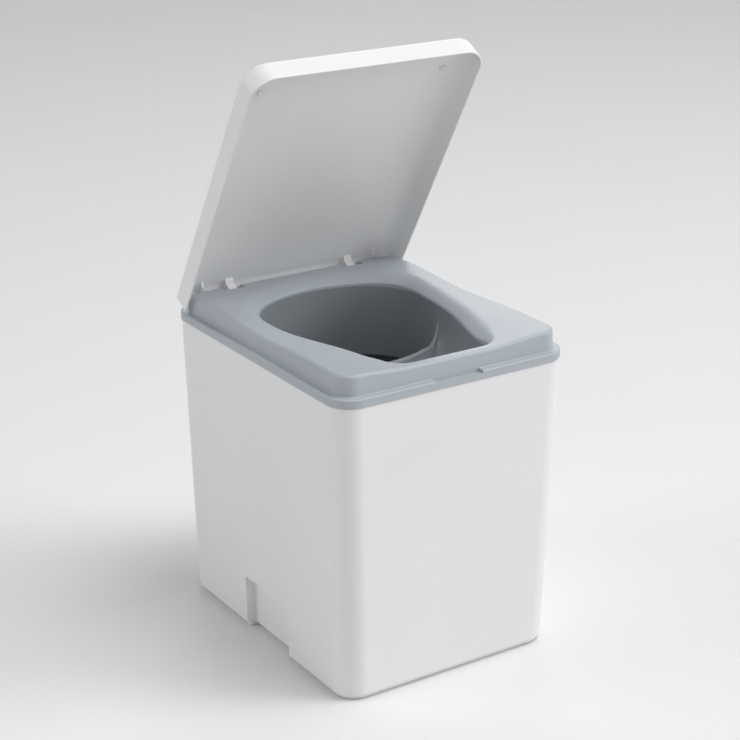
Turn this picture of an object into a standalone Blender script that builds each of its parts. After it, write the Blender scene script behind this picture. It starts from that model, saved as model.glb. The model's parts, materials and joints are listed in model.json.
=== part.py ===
"""Portable camp toilet: a tapered box with a separating bowl, a hinged lid and two lift-out containers.

Metres, +Z up. The floor is z = 0, the front faces -Y and the lid hinge lies along X at the back.
"""

import math

import bmesh
import bpy
from mathutils import Vector

# Clearances
TOUCH = 0.0003  # between pieces that rest on each other
RUN = 0.0010  # between pieces that lift or turn past each other
OVERLAP = 0.0010  # how far shapes joined into one piece reach into each other
REACH = 0.0200  # how far a cutter runs past the face it opens

# Body shell, base plate and feet
BODY_TOP_WIDTH = 0.339
BODY_TOP_DEPTH = 0.416
BODY_BOTTOM_WIDTH = 0.319
BODY_BOTTOM_DEPTH = 0.403
BODY_HEIGHT = 0.390
BODY_CORNER_RADIUS = 0.032
BODY_WALL = 0.003
BODY_EDGE_RADIUS = 0.002
BASE_HEIGHT = 0.0055
BASE_INSET = 0.0050
FOOT_DIAMETER = 0.030
FOOT_SHOW = 0.0010
FOOT_SUNK = 0.0020
FOOT_INSET = 0.034

# Hand grip recess low in each side
GRIP_WIDTH = 0.108
GRIP_HEIGHT = 0.070
GRIP_DEPTH = 0.012
GRIP_CENTRE_Y = -0.010
GRIP_FRONT_RADIUS = 0.014
GRIP_REAR_RADIUS = 0.003

# Seat: flange on the body's rim, ledge for the lid, raised saddle and rolled throat
FLANGE_HEIGHT = 0.0113
FLANGE_PROUD = 0.0011
FLANGE_EDGE_RADIUS = 0.0020
LEDGE_WIDTH = 0.0092
BACK_LEDGE_WIDTH = 0.0182
SEAT_HEIGHT = 0.0220
SEAT_WALL = 0.0028
SEAT_DRAFT = 0.0010
SEAT_EDGE_RADIUS = 0.0050
SEAT_BACK_RADIUS = 0.0140
NOSE_RADIUS = 0.0080
WING_RISE = 0.0045
WING_START_X = 0.060
WING_FULL_X = 0.135
SADDLE_MIDDLE_Y = 0.005
SADDLE_REACH = 0.130
LOCATOR_DEPTH = 0.008
LOCATOR_WALL = 0.002
NOTCH_WIDTH = 0.070
NOTCH_DEPTH = 0.0050

# Throat: the egg-shaped opening, given by the rims left around it
FRONT_RIM = 0.0200
SIDE_RIM = 0.0455
BACK_DECK = 0.0520
THROAT_FRONT_WIDTH = 0.148
THROAT_CORNER = 0.026
THROAT_LEAN = 0.0087
THROAT_LEAN_LENGTH = 0.062
THROAT_BACK_LENGTH = 0.0839
ROLL_FRONT = 0.0080
ROLL_SIDE = 0.0140
ROLL_BACK = 0.0300
DROP_FRONT = 0.0050
DROP_BACK = 0.0085
LIP_DEPTH = 0.0125

# Separating bowl under the throat
BOWL_WALL = 0.0025
BOWL_FLANGE = 0.026
BOWL_FRONT_FLANGE = 0.010
BOWL_STEP = 0.0005
BOWL_TAPER = 0.10
DIVIDER_DEPTH = 0.042
DIVIDER_SETBACK = 0.1299
DIVIDER_BOW = 0.0475
DIVIDER_WALL = 0.003
CHUTE_DEPTH = 0.095
FUNNEL_DEPTH = 0.044
DRAIN_SETBACK = 0.0679
SPOUT_DIAMETER = 0.030
SPOUT_LENGTH = 0.060
SCREW_OFFSET = 0.018
SCREW_FRONT_SETBACK = 0.0799
SCREW_REAR_SETBACK = 0.0469
BOSS_DIAMETER = 0.009
SCREW_DIAMETER = 0.0040
SCREW_LENGTH = 0.0100
SCREW_HEAD_DIAMETER = 0.0080
SCREW_HEAD_HEIGHT = 0.0025

# Lid and its hinge
LID_HEIGHT = 0.0315
LID_WALL = 0.0025
LID_INSET = 0.0010
LID_EDGE_RADIUS = 0.0070
LID_GAP = 0.0005
LID_BACK_RADIUS = 0.0050
LID_OVERHANG = 0.0080
LID_BACK_GAP = 0.0025
LID_OPEN_ANGLE = math.radians(60)
LUG_X = 0.0935
LUG_WIDTH = 0.012
LUG_RADIUS = 0.0062
LUG_ROOT = 0.012
RIB_X = 0.135
RIB_WIDTH = 0.0025
RIB_REACH = 0.016
POCKET_WIDTH = 0.030
POCKET_FRONT = 0.011
POCKET_DEPTH = 0.010
KNUCKLE_WALL = 0.010
PIN_DIAMETER = 0.0050
BUMPER_DIAMETER = 0.009
BUMPER_CHAMFER = 0.001
BUMPER_SIDE = 0.0366
BUMPER_SETBACK = 0.0481

# Containers inside
FLOOR_CLEARANCE = 0.010
CONTAINER_WALL = 0.0025
CONTAINER_GAP = 0.008
CONTAINER_DRAFT = 0.006
CONTAINER_RADIUS = 0.024
CANISTER_DEPTH = 0.138
CANISTER_SHOULDER = 0.014
CANISTER_HEEL = 0.007
NECK_DIAMETER = 0.056
NECK_HEIGHT = 0.030
SPOUT_DIP = 0.014
COLLAR_HEIGHT = 0.024
COLLAR_WALL = 0.0035
COLLAR_RIBS = 18
COLLAR_RIB_HEIGHT = 0.0008
SEAL_HEIGHT = 0.003
HANDLE_SPAN = 0.078
HANDLE_RISE = 0.036
HANDLE_BAR = 0.014
BIN_HEADROOM = 0.012
BIN_RIM = 0.007
BIN_RIM_HEIGHT = 0.010

# Facets: steps along a half end, a corner and a side of an outline, and round a circle
FINE = (4, 7, 12)
SHELL = (1, 8, 1)
PLAIN = (1, 5, 1)
ROUND_STEPS = 32
SMALL_STEPS = 14
RIB_STEPS = 4
HANDLE_STEPS = 10
CREASE_ANGLE = math.radians(32)

# Heights and places that follow from the sizes above
BASE_Z = FOOT_SHOW
BODY_Z = BASE_Z + BASE_HEIGHT + TOUCH
RIM_Z = BODY_Z + BODY_HEIGHT
GRIP_BACK_X = BODY_BOTTOM_WIDTH / 2 - GRIP_DEPTH
FLANGE_Z = RIM_Z + TOUCH
LEDGE_Z = FLANGE_Z + FLANGE_HEIGHT
DECK_Z = LEDGE_Z + SEAT_HEIGHT
LIP_Z = DECK_Z - LIP_DEPTH
FLANGE_HALF_WIDTH = BODY_TOP_WIDTH / 2 + FLANGE_PROUD
FLANGE_HALF_DEPTH = BODY_TOP_DEPTH / 2 + FLANGE_PROUD
SEAT_HALF_WIDTH = FLANGE_HALF_WIDTH - LEDGE_WIDTH
SEAT_FRONT = LEDGE_WIDTH - FLANGE_HALF_DEPTH
SEAT_BACK = FLANGE_HALF_DEPTH - BACK_LEDGE_WIDTH
HINGE_Y = SEAT_BACK - NOSE_RADIUS
HINGE_Z = DECK_Z - NOSE_RADIUS
THROAT_FRONT = SEAT_FRONT + FRONT_RIM
THROAT_BACK = SEAT_BACK - BACK_DECK
THROAT_HALF_WIDTH = SEAT_HALF_WIDTH - SIDE_RIM
THROAT_WIDEST_Y = THROAT_BACK - THROAT_BACK_LENGTH
DRAIN_Y = THROAT_FRONT + DRAIN_SETBACK
DIVIDER_Y = THROAT_FRONT + DIVIDER_SETBACK
DIVIDER_RADIUS = (THROAT_HALF_WIDTH ** 2 + DIVIDER_BOW ** 2) / (2 * DIVIDER_BOW)
BOWL_Z = LIP_Z - TOUCH
DIVIDER_Z = BOWL_Z - DIVIDER_DEPTH
CHUTE_Z = BOWL_Z - CHUTE_DEPTH
DRAIN_Z = DIVIDER_Z - FUNNEL_DEPTH
SPOUT_Z = DRAIN_Z - SPOUT_LENGTH
FLOOR_Z = BODY_Z + BODY_WALL
LID_RIM_Z = LEDGE_Z + LID_GAP
LID_TOP_Z = LID_RIM_Z + LID_HEIGHT
LID_INNER_Z = LID_TOP_Z - LID_WALL
HINGE = Vector((0, HINGE_Y, HINGE_Z))

WHITE = (0.80, 0.80, 0.80)
GREY = (0.36, 0.40, 0.44)
DARK = (0.05, 0.05, 0.055)
STEEL = (0.60, 0.60, 0.62)
CLOUDY = (0.72, 0.74, 0.74)


def clear_scene():
    for item in list(bpy.data.objects):
        bpy.data.objects.remove(item, do_unlink=True)


def finish(name, colour, roughness, metallic=0.0):
    material = bpy.data.materials.new(name)
    material.use_nodes = True
    shader = material.node_tree.nodes["Principled BSDF"]
    shader.inputs["Base Color"].default_value = (*colour, 1)
    shader.inputs["Roughness"].default_value = roughness
    shader.inputs["Metallic"].default_value = metallic
    return material


def place(name, mesh, material=None, parent=None):
    """An object for a mesh; without a material it is a helper that only cuts or joins."""
    item = bpy.data.objects.new(name, mesh)
    bpy.context.scene.collection.objects.link(item)
    item.parent = parent
    if material:
        mesh.materials.append(material)
    else:
        item.hide_render = True
        item.display_type = "WIRE"
    return item


def boolean(item, helper, operation):
    modifier = item.modifiers.new(helper.name, "BOOLEAN")
    modifier.operation = operation
    modifier.object = helper
    modifier.solver = "EXACT"


def cut(item, mesh, name, parent=None):
    boolean(item, place(f"cut_{name}", mesh, parent=parent), "DIFFERENCE")


def join(item, mesh, name, parent=None):
    boolean(item, place(f"add_{name}", mesh, parent=parent), "UNION")


def settle():
    """Give every piece its finished mesh, smooth but crisp at its edges, and drop the helpers."""
    graph = bpy.context.evaluated_depsgraph_get()
    helpers = [item for item in bpy.data.objects if item.hide_render]
    pieces = [item for item in bpy.data.objects if item.type == "MESH" and not item.hide_render]
    finished = [bpy.data.meshes.new_from_object(item.evaluated_get(graph)) for item in pieces]
    for item, mesh in zip(pieces, finished):
        item.modifiers.clear()
        item.data = mesh
        mesh.shade_smooth()
        mesh.set_sharp_from_angle(angle=CREASE_ANGLE)
    for item in helpers:
        bpy.data.objects.remove(item)


def between(start, end, share):
    return start + (end - start) * share


def ease(value, start, end):
    """Smooth step from 0 at start to 1 at end."""
    share = min(max((value - start) / (end - start), 0), 1)
    return share * share * (3 - 2 * share)


def loft(rings, closed=False):
    """Quads between rings of points; the ends are capped, or joined to each other when closed."""
    shape = bmesh.new()
    loops = [[shape.verts.new(point) for point in ring] for ring in rings]
    pairs = list(zip(loops, loops[1:]))
    if closed:
        pairs.append((loops[-1], loops[0]))
    count = len(loops[0])
    for low, high in pairs:
        for i in range(count):
            j = (i + 1) % count
            shape.faces.new((low[i], low[j], high[j], high[i]))
    if not closed:
        shape.faces.new(loops[0][::-1])
        shape.faces.new(loops[-1])
    return as_mesh(shape)


def gathered(meshes):
    """Several shapes as one mesh, so that they cut or join in one go."""
    shape = bmesh.new()
    for mesh in meshes:
        shape.from_mesh(mesh)
    return as_mesh(shape)


def as_mesh(shape):
    mesh = bpy.data.meshes.new("shape")
    shape.to_mesh(mesh)
    shape.free()
    return mesh


def level(outline, z):
    return [(x, y, z) for x, y in outline]


def tube(outer, inner, low, high):
    """A ring with a flat top and bottom between two outlines."""
    return loft([level(outer, low), level(outer, high), level(inner, high), level(inner, low)], closed=True)


def circle(radius, centre=(0, 0), steps=ROUND_STEPS):
    turns = [2 * math.pi * i / steps for i in range(steps)]
    return [(centre[0] + radius * math.cos(a), centre[1] + radius * math.sin(a)) for a in turns]


def disc(radius, centre, low, high):
    outline = circle(radius, centre)
    return loft([level(outline, low), level(outline, high)])


def rod(radius, y, z, start, end):
    """A round bar along X."""
    outline = circle(radius, (y, z))
    return loft([[(x, a, b) for a, b in outline] for x in (start, end)])


def box(low, high):
    (x0, y0, z0), (x1, y1, z1) = low, high
    outline = [(x0, y0), (x1, y0), (x1, y1), (x0, y1)]
    return loft([level(outline, z0), level(outline, z1)])


def prism_x(profile, start, end):
    """A profile of (y, z) points, counter-clockwise seen from +X, drawn along X."""
    return loft([[(x, y, z) for y, z in profile] for x in (start, end)])


def mirrored(half):
    """A closed outline from its right half, which runs from the front middle to the back middle."""
    return half + [(-x, y) for x, y in reversed(half[1:-1])]


def arc(centre, radius, start, end, steps):
    angles = [math.radians(between(start, end, i / steps)) for i in range(steps)]
    return [(centre[0] + radius * math.cos(a), centre[1] + radius * math.sin(a)) for a in angles]


def rounded(half_width, front, back, front_radius, back_radius, steps=PLAIN):
    """A rectangle with rounded corners, seen from above."""
    ends, corners, sides = steps
    front_x = half_width - front_radius
    back_x = half_width - back_radius
    low_y = front + front_radius
    high_y = back - back_radius
    half = [(between(0, front_x, i / ends), front) for i in range(ends)]
    half += arc((front_x, low_y), front_radius, -90, 0, corners)
    half += [(half_width, between(low_y, high_y, i / sides)) for i in range(sides)]
    half += arc((back_x, high_y), back_radius, 0, 90, corners)
    half += [(between(back_x, 0, i / ends), back) for i in range(ends + 1)]
    return mirrored(half)


def bezier(points, share):
    while len(points) > 1:
        points = [a.lerp(b, share) for a, b in zip(points, points[1:])]
    return tuple(points[0])


def throat():
    """The egg-shaped opening: straight in front, tapering sides and an elliptical back."""
    ends, corners, sides = FINE
    front_x = THROAT_FRONT_WIDTH / 2
    turn = [
        Vector((front_x - THROAT_CORNER, THROAT_FRONT)),
        Vector((front_x, THROAT_FRONT)),
        Vector((front_x, THROAT_FRONT + THROAT_CORNER)),
    ]
    half_length = (THROAT_WIDEST_Y - turn[2].y) / 2
    side = [
        turn[2],
        turn[2] + Vector((THROAT_LEAN, THROAT_LEAN_LENGTH)),
        Vector((THROAT_HALF_WIDTH, THROAT_WIDEST_Y - half_length)),
        Vector((THROAT_HALF_WIDTH, THROAT_WIDEST_Y)),
    ]
    half = [(between(0, turn[0].x, i / ends), THROAT_FRONT) for i in range(ends)]
    half += [bezier(turn, i / corners) for i in range(corners)]
    half += [bezier(side, i / sides) for i in range(sides)]
    back_steps = corners + ends
    for i in range(back_steps + 1):
        angle = math.pi / 2 * i / back_steps
        rise = (THROAT_BACK - THROAT_WIDEST_Y) * math.sin(angle)
        half.append((THROAT_HALF_WIDTH * math.cos(angle), THROAT_WIDEST_Y + rise))
    half[-1] = (0.0, THROAT_BACK)
    return mirrored(half)


def normals(outline):
    """Outward directions at the points of a counter-clockwise outline."""
    found = []
    for i in range(len(outline)):
        before = Vector(outline[i - 1])
        after = Vector(outline[(i + 1) % len(outline)])
        along = (after - before).normalized()
        found.append(Vector((along.y, -along.x)))
    return found


def grown(outline, amount):
    """The outline moved outwards by one amount, or by one for each point."""
    amounts = amount if isinstance(amount, list) else [amount] * len(outline)
    moved = zip(outline, normals(outline), amounts)
    return [tuple(Vector(point) + normal * by) for point, normal, by in moved]


def body_half_width(z):
    return between(BODY_BOTTOM_WIDTH, BODY_TOP_WIDTH, z / BODY_HEIGHT) / 2


def body_outline(z, inset, steps=PLAIN):
    """The tapered box's outline at a height above its bottom edge, moved inwards."""
    half_width = body_half_width(z) - inset
    half_depth = between(BODY_BOTTOM_DEPTH, BODY_TOP_DEPTH, z / BODY_HEIGHT) / 2 - inset
    radius = BODY_CORNER_RADIUS - inset
    return rounded(half_width, -half_depth, half_depth, radius, radius, steps)


def grip_outline(margin):
    """Outline of the hand grip in Y and Z, grown by a margin; it is open at the bottom."""
    front = GRIP_CENTRE_Y - GRIP_WIDTH / 2 - margin
    rear = GRIP_CENTRE_Y + GRIP_WIDTH / 2 + margin
    top = BODY_Z + GRIP_HEIGHT + margin
    bottom = BODY_Z + BODY_WALL - OVERLAP if margin else BODY_Z - REACH
    front_radius = GRIP_FRONT_RADIUS + margin
    rear_radius = GRIP_REAR_RADIUS + margin
    points = [(front, bottom), (rear, bottom)]
    points += arc((rear - rear_radius, top - rear_radius), rear_radius, 0, 90, 4)
    points.append((rear - rear_radius, top))
    points += arc((front + front_radius, top - front_radius), front_radius, 90, 180, 6)
    points.append((front, top - front_radius))
    return points


def body_shell(material):
    outer = [
        level(body_outline(0, BODY_EDGE_RADIUS, SHELL), BODY_Z),
        level(body_outline(BODY_EDGE_RADIUS, 0, SHELL), BODY_Z + BODY_EDGE_RADIUS),
        level(body_outline(BODY_HEIGHT, 0, SHELL), RIM_Z),
    ]
    item = place("body_shell", loft(outer), material)
    inner = [
        level(body_outline(BODY_WALL, BODY_WALL, SHELL), FLOOR_Z),
        level(body_outline(BODY_HEIGHT + REACH, BODY_WALL, SHELL), RIM_Z + REACH),
    ]
    cut(item, loft(inner), "body_inside")
    join(item, grip_plugs(BODY_WALL, GRIP_BACK_X, -BODY_WALL / 2), "grip_walls")
    cut(item, grip_plugs(0, GRIP_BACK_X, REACH), "grips")


def grip_plug(side, wall, back_x, past_skin):
    """The hand grip's form, grown by a wall, from behind its back to a slanting end along the body's skin."""
    outline = grip_outline(wall)
    inner = [(side * (back_x - wall), y, z) for y, z in outline]
    outer = [(side * (body_half_width(z - BODY_Z) + past_skin), y, z) for y, z in outline]
    return loft([inner, outer] if side > 0 else [outer, inner])


def grip_plugs(wall, back_x, past_skin):
    return gathered(grip_plug(side, wall, back_x, past_skin) for side in (-1, 1))


def foot_places():
    x = BODY_BOTTOM_WIDTH / 2 - FOOT_INSET
    y = BODY_BOTTOM_DEPTH / 2 - FOOT_INSET
    for row, end in ((-1, "front"), (1, "rear")):
        for side, hand in ((-1, "left"), (1, "right")):
            yield f"{end}_{hand}", (side * x, row * y)


def base_plate(material, rubber):
    outline = body_outline(0, BASE_INSET, SHELL)
    top = BASE_Z + BASE_HEIGHT
    item = place("base_plate", loft([level(outline, BASE_Z), level(outline, top)]), material)
    cut(item, grip_plugs(0, GRIP_BACK_X - BASE_INSET, REACH), "base_grips")
    sunk = BASE_Z + FOOT_SUNK
    socket_radius = FOOT_DIAMETER / 2 + TOUCH
    sockets = [disc(socket_radius, centre, BASE_Z - REACH, sunk + TOUCH) for _, centre in foot_places()]
    cut(item, gathered(sockets), "foot_sockets")
    for name, centre in foot_places():
        place(f"foot_{name}", disc(FOOT_DIAMETER / 2, centre, 0, sunk), rubber)


def seat_top(x, y):
    """Height of the raised seat: flat in the middle, with wings that rise fore and aft of the thighs."""
    wing = ease(abs(x), WING_START_X, WING_FULL_X)
    forward = ease(SADDLE_MIDDLE_Y - y, 0, SADDLE_REACH)
    backward = ease(y - SADDLE_MIDDLE_Y, 0, SADDLE_REACH) * ease(-y, -HINGE_Y, -SADDLE_REACH)
    return DECK_Z + WING_RISE * wing * max(forward, backward)


def seat_outline(inset):
    """The foot of the raised part where it stands on the ledge, moved inwards."""
    front_radius = BODY_CORNER_RADIUS + FLANGE_PROUD - LEDGE_WIDTH - inset
    back_radius = SEAT_BACK_RADIUS - inset
    half_width = SEAT_HALF_WIDTH - inset
    return rounded(half_width, SEAT_FRONT + inset, SEAT_BACK - inset, front_radius, back_radius, FINE)


def edge_ring(angle, depth):
    """One ring of the raised part's rounded edge, from upright at 0 to level at a right angle."""
    foot = seat_outline(depth)
    radii = [between(SEAT_EDGE_RADIUS, NOSE_RADIUS, ease(y, SADDLE_REACH, HINGE_Y)) - depth for _, y in foot]
    insets = [-SEAT_DRAFT - (radius - SEAT_DRAFT) * (1 - math.cos(angle)) for radius in radii]
    drops = [depth + radius * (1 - math.sin(angle)) for radius in radii]
    return [(x, y, seat_top(x, y) - drop) for (x, y), drop in zip(grown(foot, insets), drops)]


def flange_outline(inset):
    radius = BODY_CORNER_RADIUS + FLANGE_PROUD - inset
    half_depth = FLANGE_HALF_DEPTH - inset
    return rounded(FLANGE_HALF_WIDTH - inset, -half_depth, half_depth, radius, radius, FINE)


def roll_width(y):
    """Width of the rolled edge round the throat: slim in front, a long slope at the back."""
    forward = ease(y, THROAT_FRONT, THROAT_FRONT + 2 * THROAT_CORNER)
    backward = ease(y, THROAT_WIDEST_Y, THROAT_BACK)
    return between(between(ROLL_FRONT, ROLL_SIDE, forward), ROLL_BACK, backward)


def roll_drop(y):
    return between(DROP_FRONT, DROP_BACK, ease(y, THROAT_FRONT, THROAT_WIDEST_Y))


def roll_ring(outline, angle, depth):
    """One ring of the rolled edge, from its crest at 0 to the throat at a right angle."""
    widths = [depth + (roll_width(y) - depth) * (1 - math.sin(angle)) for _, y in outline]
    ring = []
    for (x, y), (_, base_y) in zip(grown(outline, widths), outline):
        drop = depth + roll_drop(base_y) * (1 - math.cos(angle))
        ring.append((x, y, seat_top(x, y) - drop))
    return ring


def seat_rings(depth):
    """Rings from the flange's foot over the saddle to the throat's lip, sunk into the wall by a depth."""
    rings = [level(flange_outline(depth), FLANGE_Z)]
    radius = max(FLANGE_EDGE_RADIUS - depth, 0)
    for degrees in (0, 45, 90) if radius else (90,):
        angle = math.radians(degrees)
        outline = flange_outline(depth + radius * (1 - math.cos(angle)))
        rings.append(level(outline, LEDGE_Z - depth - radius * (1 - math.sin(angle))))
    rings.append(level(seat_outline(depth), LEDGE_Z - depth))
    for degrees in (0, 30, 60, 90):
        rings.append(edge_ring(math.radians(degrees), depth))
    opening = throat()
    edge, crest = rings[-1], roll_ring(opening, 0, depth)
    for share in (0.3, 0.65):
        ring = []
        for (ax, ay, _), (bx, by, _) in zip(edge, crest):
            x, y = between(ax, bx, share), between(ay, by, share)
            ring.append((x, y, seat_top(x, y) - depth))
        rings.append(ring)
    for degrees in (0, 30, 60, 90):
        rings.append(roll_ring(opening, math.radians(degrees), depth))
    rings.append(level(grown(opening, depth), LIP_Z))
    return rings


def screw_places():
    """Points beside the throat where the bowl is screwed to the seat, with the seat's height there."""
    outline = throat()
    right_half = list(zip(outline, normals(outline)))[: len(outline) // 2]
    rows = {"front": THROAT_FRONT + SCREW_FRONT_SETBACK, "rear": THROAT_BACK - SCREW_REAR_SETBACK}
    for end, row_y in rows.items():
        edge, outward = min(right_half, key=lambda spot: abs(spot[0][1] - row_y))
        point = Vector(edge) + outward * SCREW_OFFSET
        share = min(SCREW_OFFSET / roll_width(edge[1]), 1)
        drop = roll_drop(edge[1]) * (1 - math.sqrt(1 - (1 - share) ** 2))
        for side, hand in ((-1, "left"), (1, "right")):
            yield f"{end}_{hand}", (side * point.x, point.y), seat_top(point.x, point.y) - drop


def seat(material, steel):
    rings = seat_rings(0) + seat_rings(SEAT_WALL)[::-1]
    item = place("seat", loft(rings, closed=True), material)

    body_inner = body_outline(BODY_HEIGHT, BODY_WALL + RUN)
    body_deeper = body_outline(BODY_HEIGHT, BODY_WALL + RUN + LOCATOR_WALL)
    ring_top = LEDGE_Z - SEAT_WALL + OVERLAP
    join(item, tube(body_inner, body_deeper, RIM_Z - LOCATOR_DEPTH, ring_top), "locator")

    notch_floor = LEDGE_Z - NOTCH_DEPTH
    half = NOTCH_WIDTH / 2
    fill_low = (-half - SEAT_WALL, -FLANGE_HALF_DEPTH + OVERLAP, notch_floor - SEAT_WALL)
    fill_high = (half + SEAT_WALL, SEAT_FRONT + OVERLAP, LEDGE_Z - OVERLAP)
    join(item, box(fill_low, fill_high), "notch_floor")
    cut_low = (-half, -FLANGE_HALF_DEPTH - REACH, notch_floor)
    cut(item, box(cut_low, (half, SEAT_FRONT, LEDGE_Z + NOTCH_DEPTH)), "notch")

    pillars = []
    bores = []
    for _, centre, height in screw_places():
        pillars.append(disc(BOSS_DIAMETER / 2, centre, LIP_Z, height - SEAT_WALL / 2))
        bores.append(disc(SCREW_DIAMETER / 2 + TOUCH, centre, LIP_Z - REACH, screw_tip() + TOUCH))
    join(item, gathered(pillars), "bosses")
    cut(item, gathered(bores), "boss_bores")
    hinge_knuckles(item, steel)


def hinge_knuckles(item, steel):
    """Solid blocks under the seat's back edge, each with a pocket for a lid lug and a bore for the pin."""
    half_block = POCKET_WIDTH / 2 + KNUCKLE_WALL
    blocks = []
    pockets = []
    bores = []
    for side, hand in ((-1, "left"), (1, "right")):
        x = side * LUG_X
        low = (x - half_block, HINGE_Y - POCKET_FRONT - SEAT_WALL, LEDGE_Z - OVERLAP)
        blocks.append(box(low, (x + half_block, SEAT_BACK - SEAT_WALL, DECK_Z - SEAT_WALL + OVERLAP)))
        low = (x - POCKET_WIDTH / 2, HINGE_Y - POCKET_FRONT, HINGE_Z - POCKET_DEPTH)
        pockets.append(box(low, (x + POCKET_WIDTH / 2, SEAT_BACK + REACH, DECK_Z + REACH)))
        ends = (x - half_block, x + half_block)
        bores.append(rod(PIN_DIAMETER / 2 + TOUCH, HINGE_Y, HINGE_Z, ends[0] - REACH, ends[1] + REACH))
        place(f"hinge_pin_{hand}", rod(PIN_DIAMETER / 2, HINGE_Y, HINGE_Z, *ends), steel)
    join(item, gathered(blocks), "knuckles")
    cut(item, gathered(pockets), "pockets")
    cut(item, gathered(bores), "pin_bores")


def screw_tip():
    return BOWL_Z - BOWL_WALL - TOUCH + SCREW_LENGTH


def divider(x, offset):
    """Y of the curved divider between the chute and the funnel, moved back by an offset."""
    centre_y = DIVIDER_Y + DIVIDER_RADIUS
    return centre_y - math.sqrt(DIVIDER_RADIUS ** 2 - x * x) + offset


def divided(outline, offset, behind, steps=12):
    """The part of an outline behind or in front of the divider, closed by the divider's own curve."""
    gaps = [(y - divider(x, offset)) * (1 if behind else -1) for x, y in outline]
    kept = [gap > OVERLAP for gap in gaps]
    points = []
    for i, point in enumerate(outline):
        j = (i + 1) % len(outline)
        if kept[i]:
            points.append(point)
        if kept[i] == kept[j]:
            continue
        edge = Vector(point).lerp(Vector(outline[j]), gaps[i] / (gaps[i] - gaps[j]))
        points.append(tuple(edge))
        if kept[i]:
            curve = [between(edge.x, -edge.x, k / steps) for k in range(1, steps)]
            points += [(x, divider(x, offset)) for x in curve]
    return points


def funnel(outline, top, bottom, drain_radius):
    """A bowl-shaped plug that narrows from an outline to the round drain."""
    drain = Vector((0, DRAIN_Y))
    spokes = [Vector(point) - drain for point in outline]
    rings = []
    for share in (1, 0.75, 0.5, 0.25, 0):
        z = between(bottom, top, (1 - share) ** 2)
        narrowed = [spoke.lerp(spoke.normalized() * drain_radius, share) for spoke in spokes]
        rings.append([(*(drain + spoke), z) for spoke in narrowed])
    return loft(rings)


def chute(outline, top, bottom):
    """A plug hanging from an outline, tapering towards its middle."""
    middle = sum((Vector(point) for point in outline), Vector((0, 0))) / len(outline)
    share = BOWL_TAPER * (top - bottom) / THROAT_HALF_WIDTH
    foot = [tuple(Vector(point).lerp(middle, share)) for point in outline]
    return loft([level(foot, bottom), level(outline, top)])


def separator_bowl(material):
    opening = throat()

    def ring(z, inset):
        return grown(opening, -BOWL_TAPER * (BOWL_Z - z) - inset)

    outer = [level(ring(z, -BOWL_WALL), z) for z in (DIVIDER_Z - BOWL_WALL, BOWL_Z - OVERLAP)]
    item = place("separator_bowl", loft(outer), material)
    corner_end = THROAT_FRONT + 2 * THROAT_CORNER
    shares = [ease(y, THROAT_FRONT, corner_end) for _, y in opening]
    widths = [between(BOWL_FRONT_FLANGE, BOWL_FLANGE, share) for share in shares]
    rim = [level(grown(opening, widths), z) for z in (BOWL_Z - BOWL_WALL, BOWL_Z)]
    join(item, loft(rim), "bowl_rim")

    half = DIVIDER_WALL / 2
    top = DIVIDER_Z - OVERLAP
    skin = ring(top, BOWL_STEP - BOWL_WALL)
    join(item, chute(divided(skin, -half - OVERLAP, True), top, CHUTE_Z), "chute")
    spout = SPOUT_DIAMETER / 2
    join(item, funnel(divided(skin, 0, False), top, DRAIN_Z - BOWL_WALL, spout - OVERLAP), "funnel")
    join(item, disc(spout, (0, DRAIN_Y), SPOUT_Z, DRAIN_Z), "spout")

    over = BOWL_Z + REACH
    cut(item, loft([level(ring(z, 0), z) for z in (DIVIDER_Z, over)]), "bowl_inside")
    top = DIVIDER_Z + OVERLAP
    skin = ring(DIVIDER_Z, BOWL_STEP)
    cut(item, chute(divided(skin, half, True), top, CHUTE_Z - REACH), "chute_inside")
    bore = spout - BOWL_WALL
    cut(item, funnel(divided(skin, -half, False), top, DRAIN_Z, bore + OVERLAP), "funnel_inside")
    cut(item, disc(bore, (0, DRAIN_Y), SPOUT_Z - REACH, DRAIN_Z + OVERLAP), "spout_bore")
    hole = SCREW_DIAMETER / 2 + TOUCH
    holes = [disc(hole, centre, CHUTE_Z, over) for _, centre, _ in screw_places()]
    cut(item, gathered(holes), "screw_holes")


def bowl_screws(steel):
    under = BOWL_Z - BOWL_WALL - TOUCH
    for name, centre, _ in screw_places():
        shank = circle(SCREW_DIAMETER / 2, centre, SMALL_STEPS)
        head = circle(SCREW_HEAD_DIAMETER / 2, centre, SMALL_STEPS)
        rings = [
            level(head, under - SCREW_HEAD_HEIGHT),
            level(head, under),
            level(shank, under),
            level(shank, screw_tip()),
        ]
        place(f"bowl_screw_{name}", loft(rings), steel)


def lid_outline(inset):
    """The lid's outline in its closed place, moved inwards."""
    half_width = FLANGE_HALF_WIDTH - LID_INSET - inset
    front = LID_INSET - FLANGE_HALF_DEPTH + inset
    front_radius = BODY_CORNER_RADIUS + FLANGE_PROUD - LID_INSET - inset
    back_radius = LID_BACK_RADIUS - min(inset, LID_BACK_RADIUS / 2)
    back = HINGE_Y + LID_OVERHANG - inset
    return rounded(half_width, front, back, front_radius, back_radius, SHELL)


def local(rings):
    """Rings moved from the closed lid's place to its hinge."""
    return [[tuple(Vector(point) - HINGE) for point in ring] for ring in rings]


def domed(inset, low, top, radius):
    """Rings of the lid's form: upright sides, then a rounded edge to a flat top."""
    rings = [level(lid_outline(inset), low)]
    for degrees in (0, 30, 60, 90):
        angle = math.radians(degrees)
        step = radius * (1 - math.cos(angle))
        rings.append(level(lid_outline(inset + step), top - radius * (1 - math.sin(angle))))
    return rings


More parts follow.
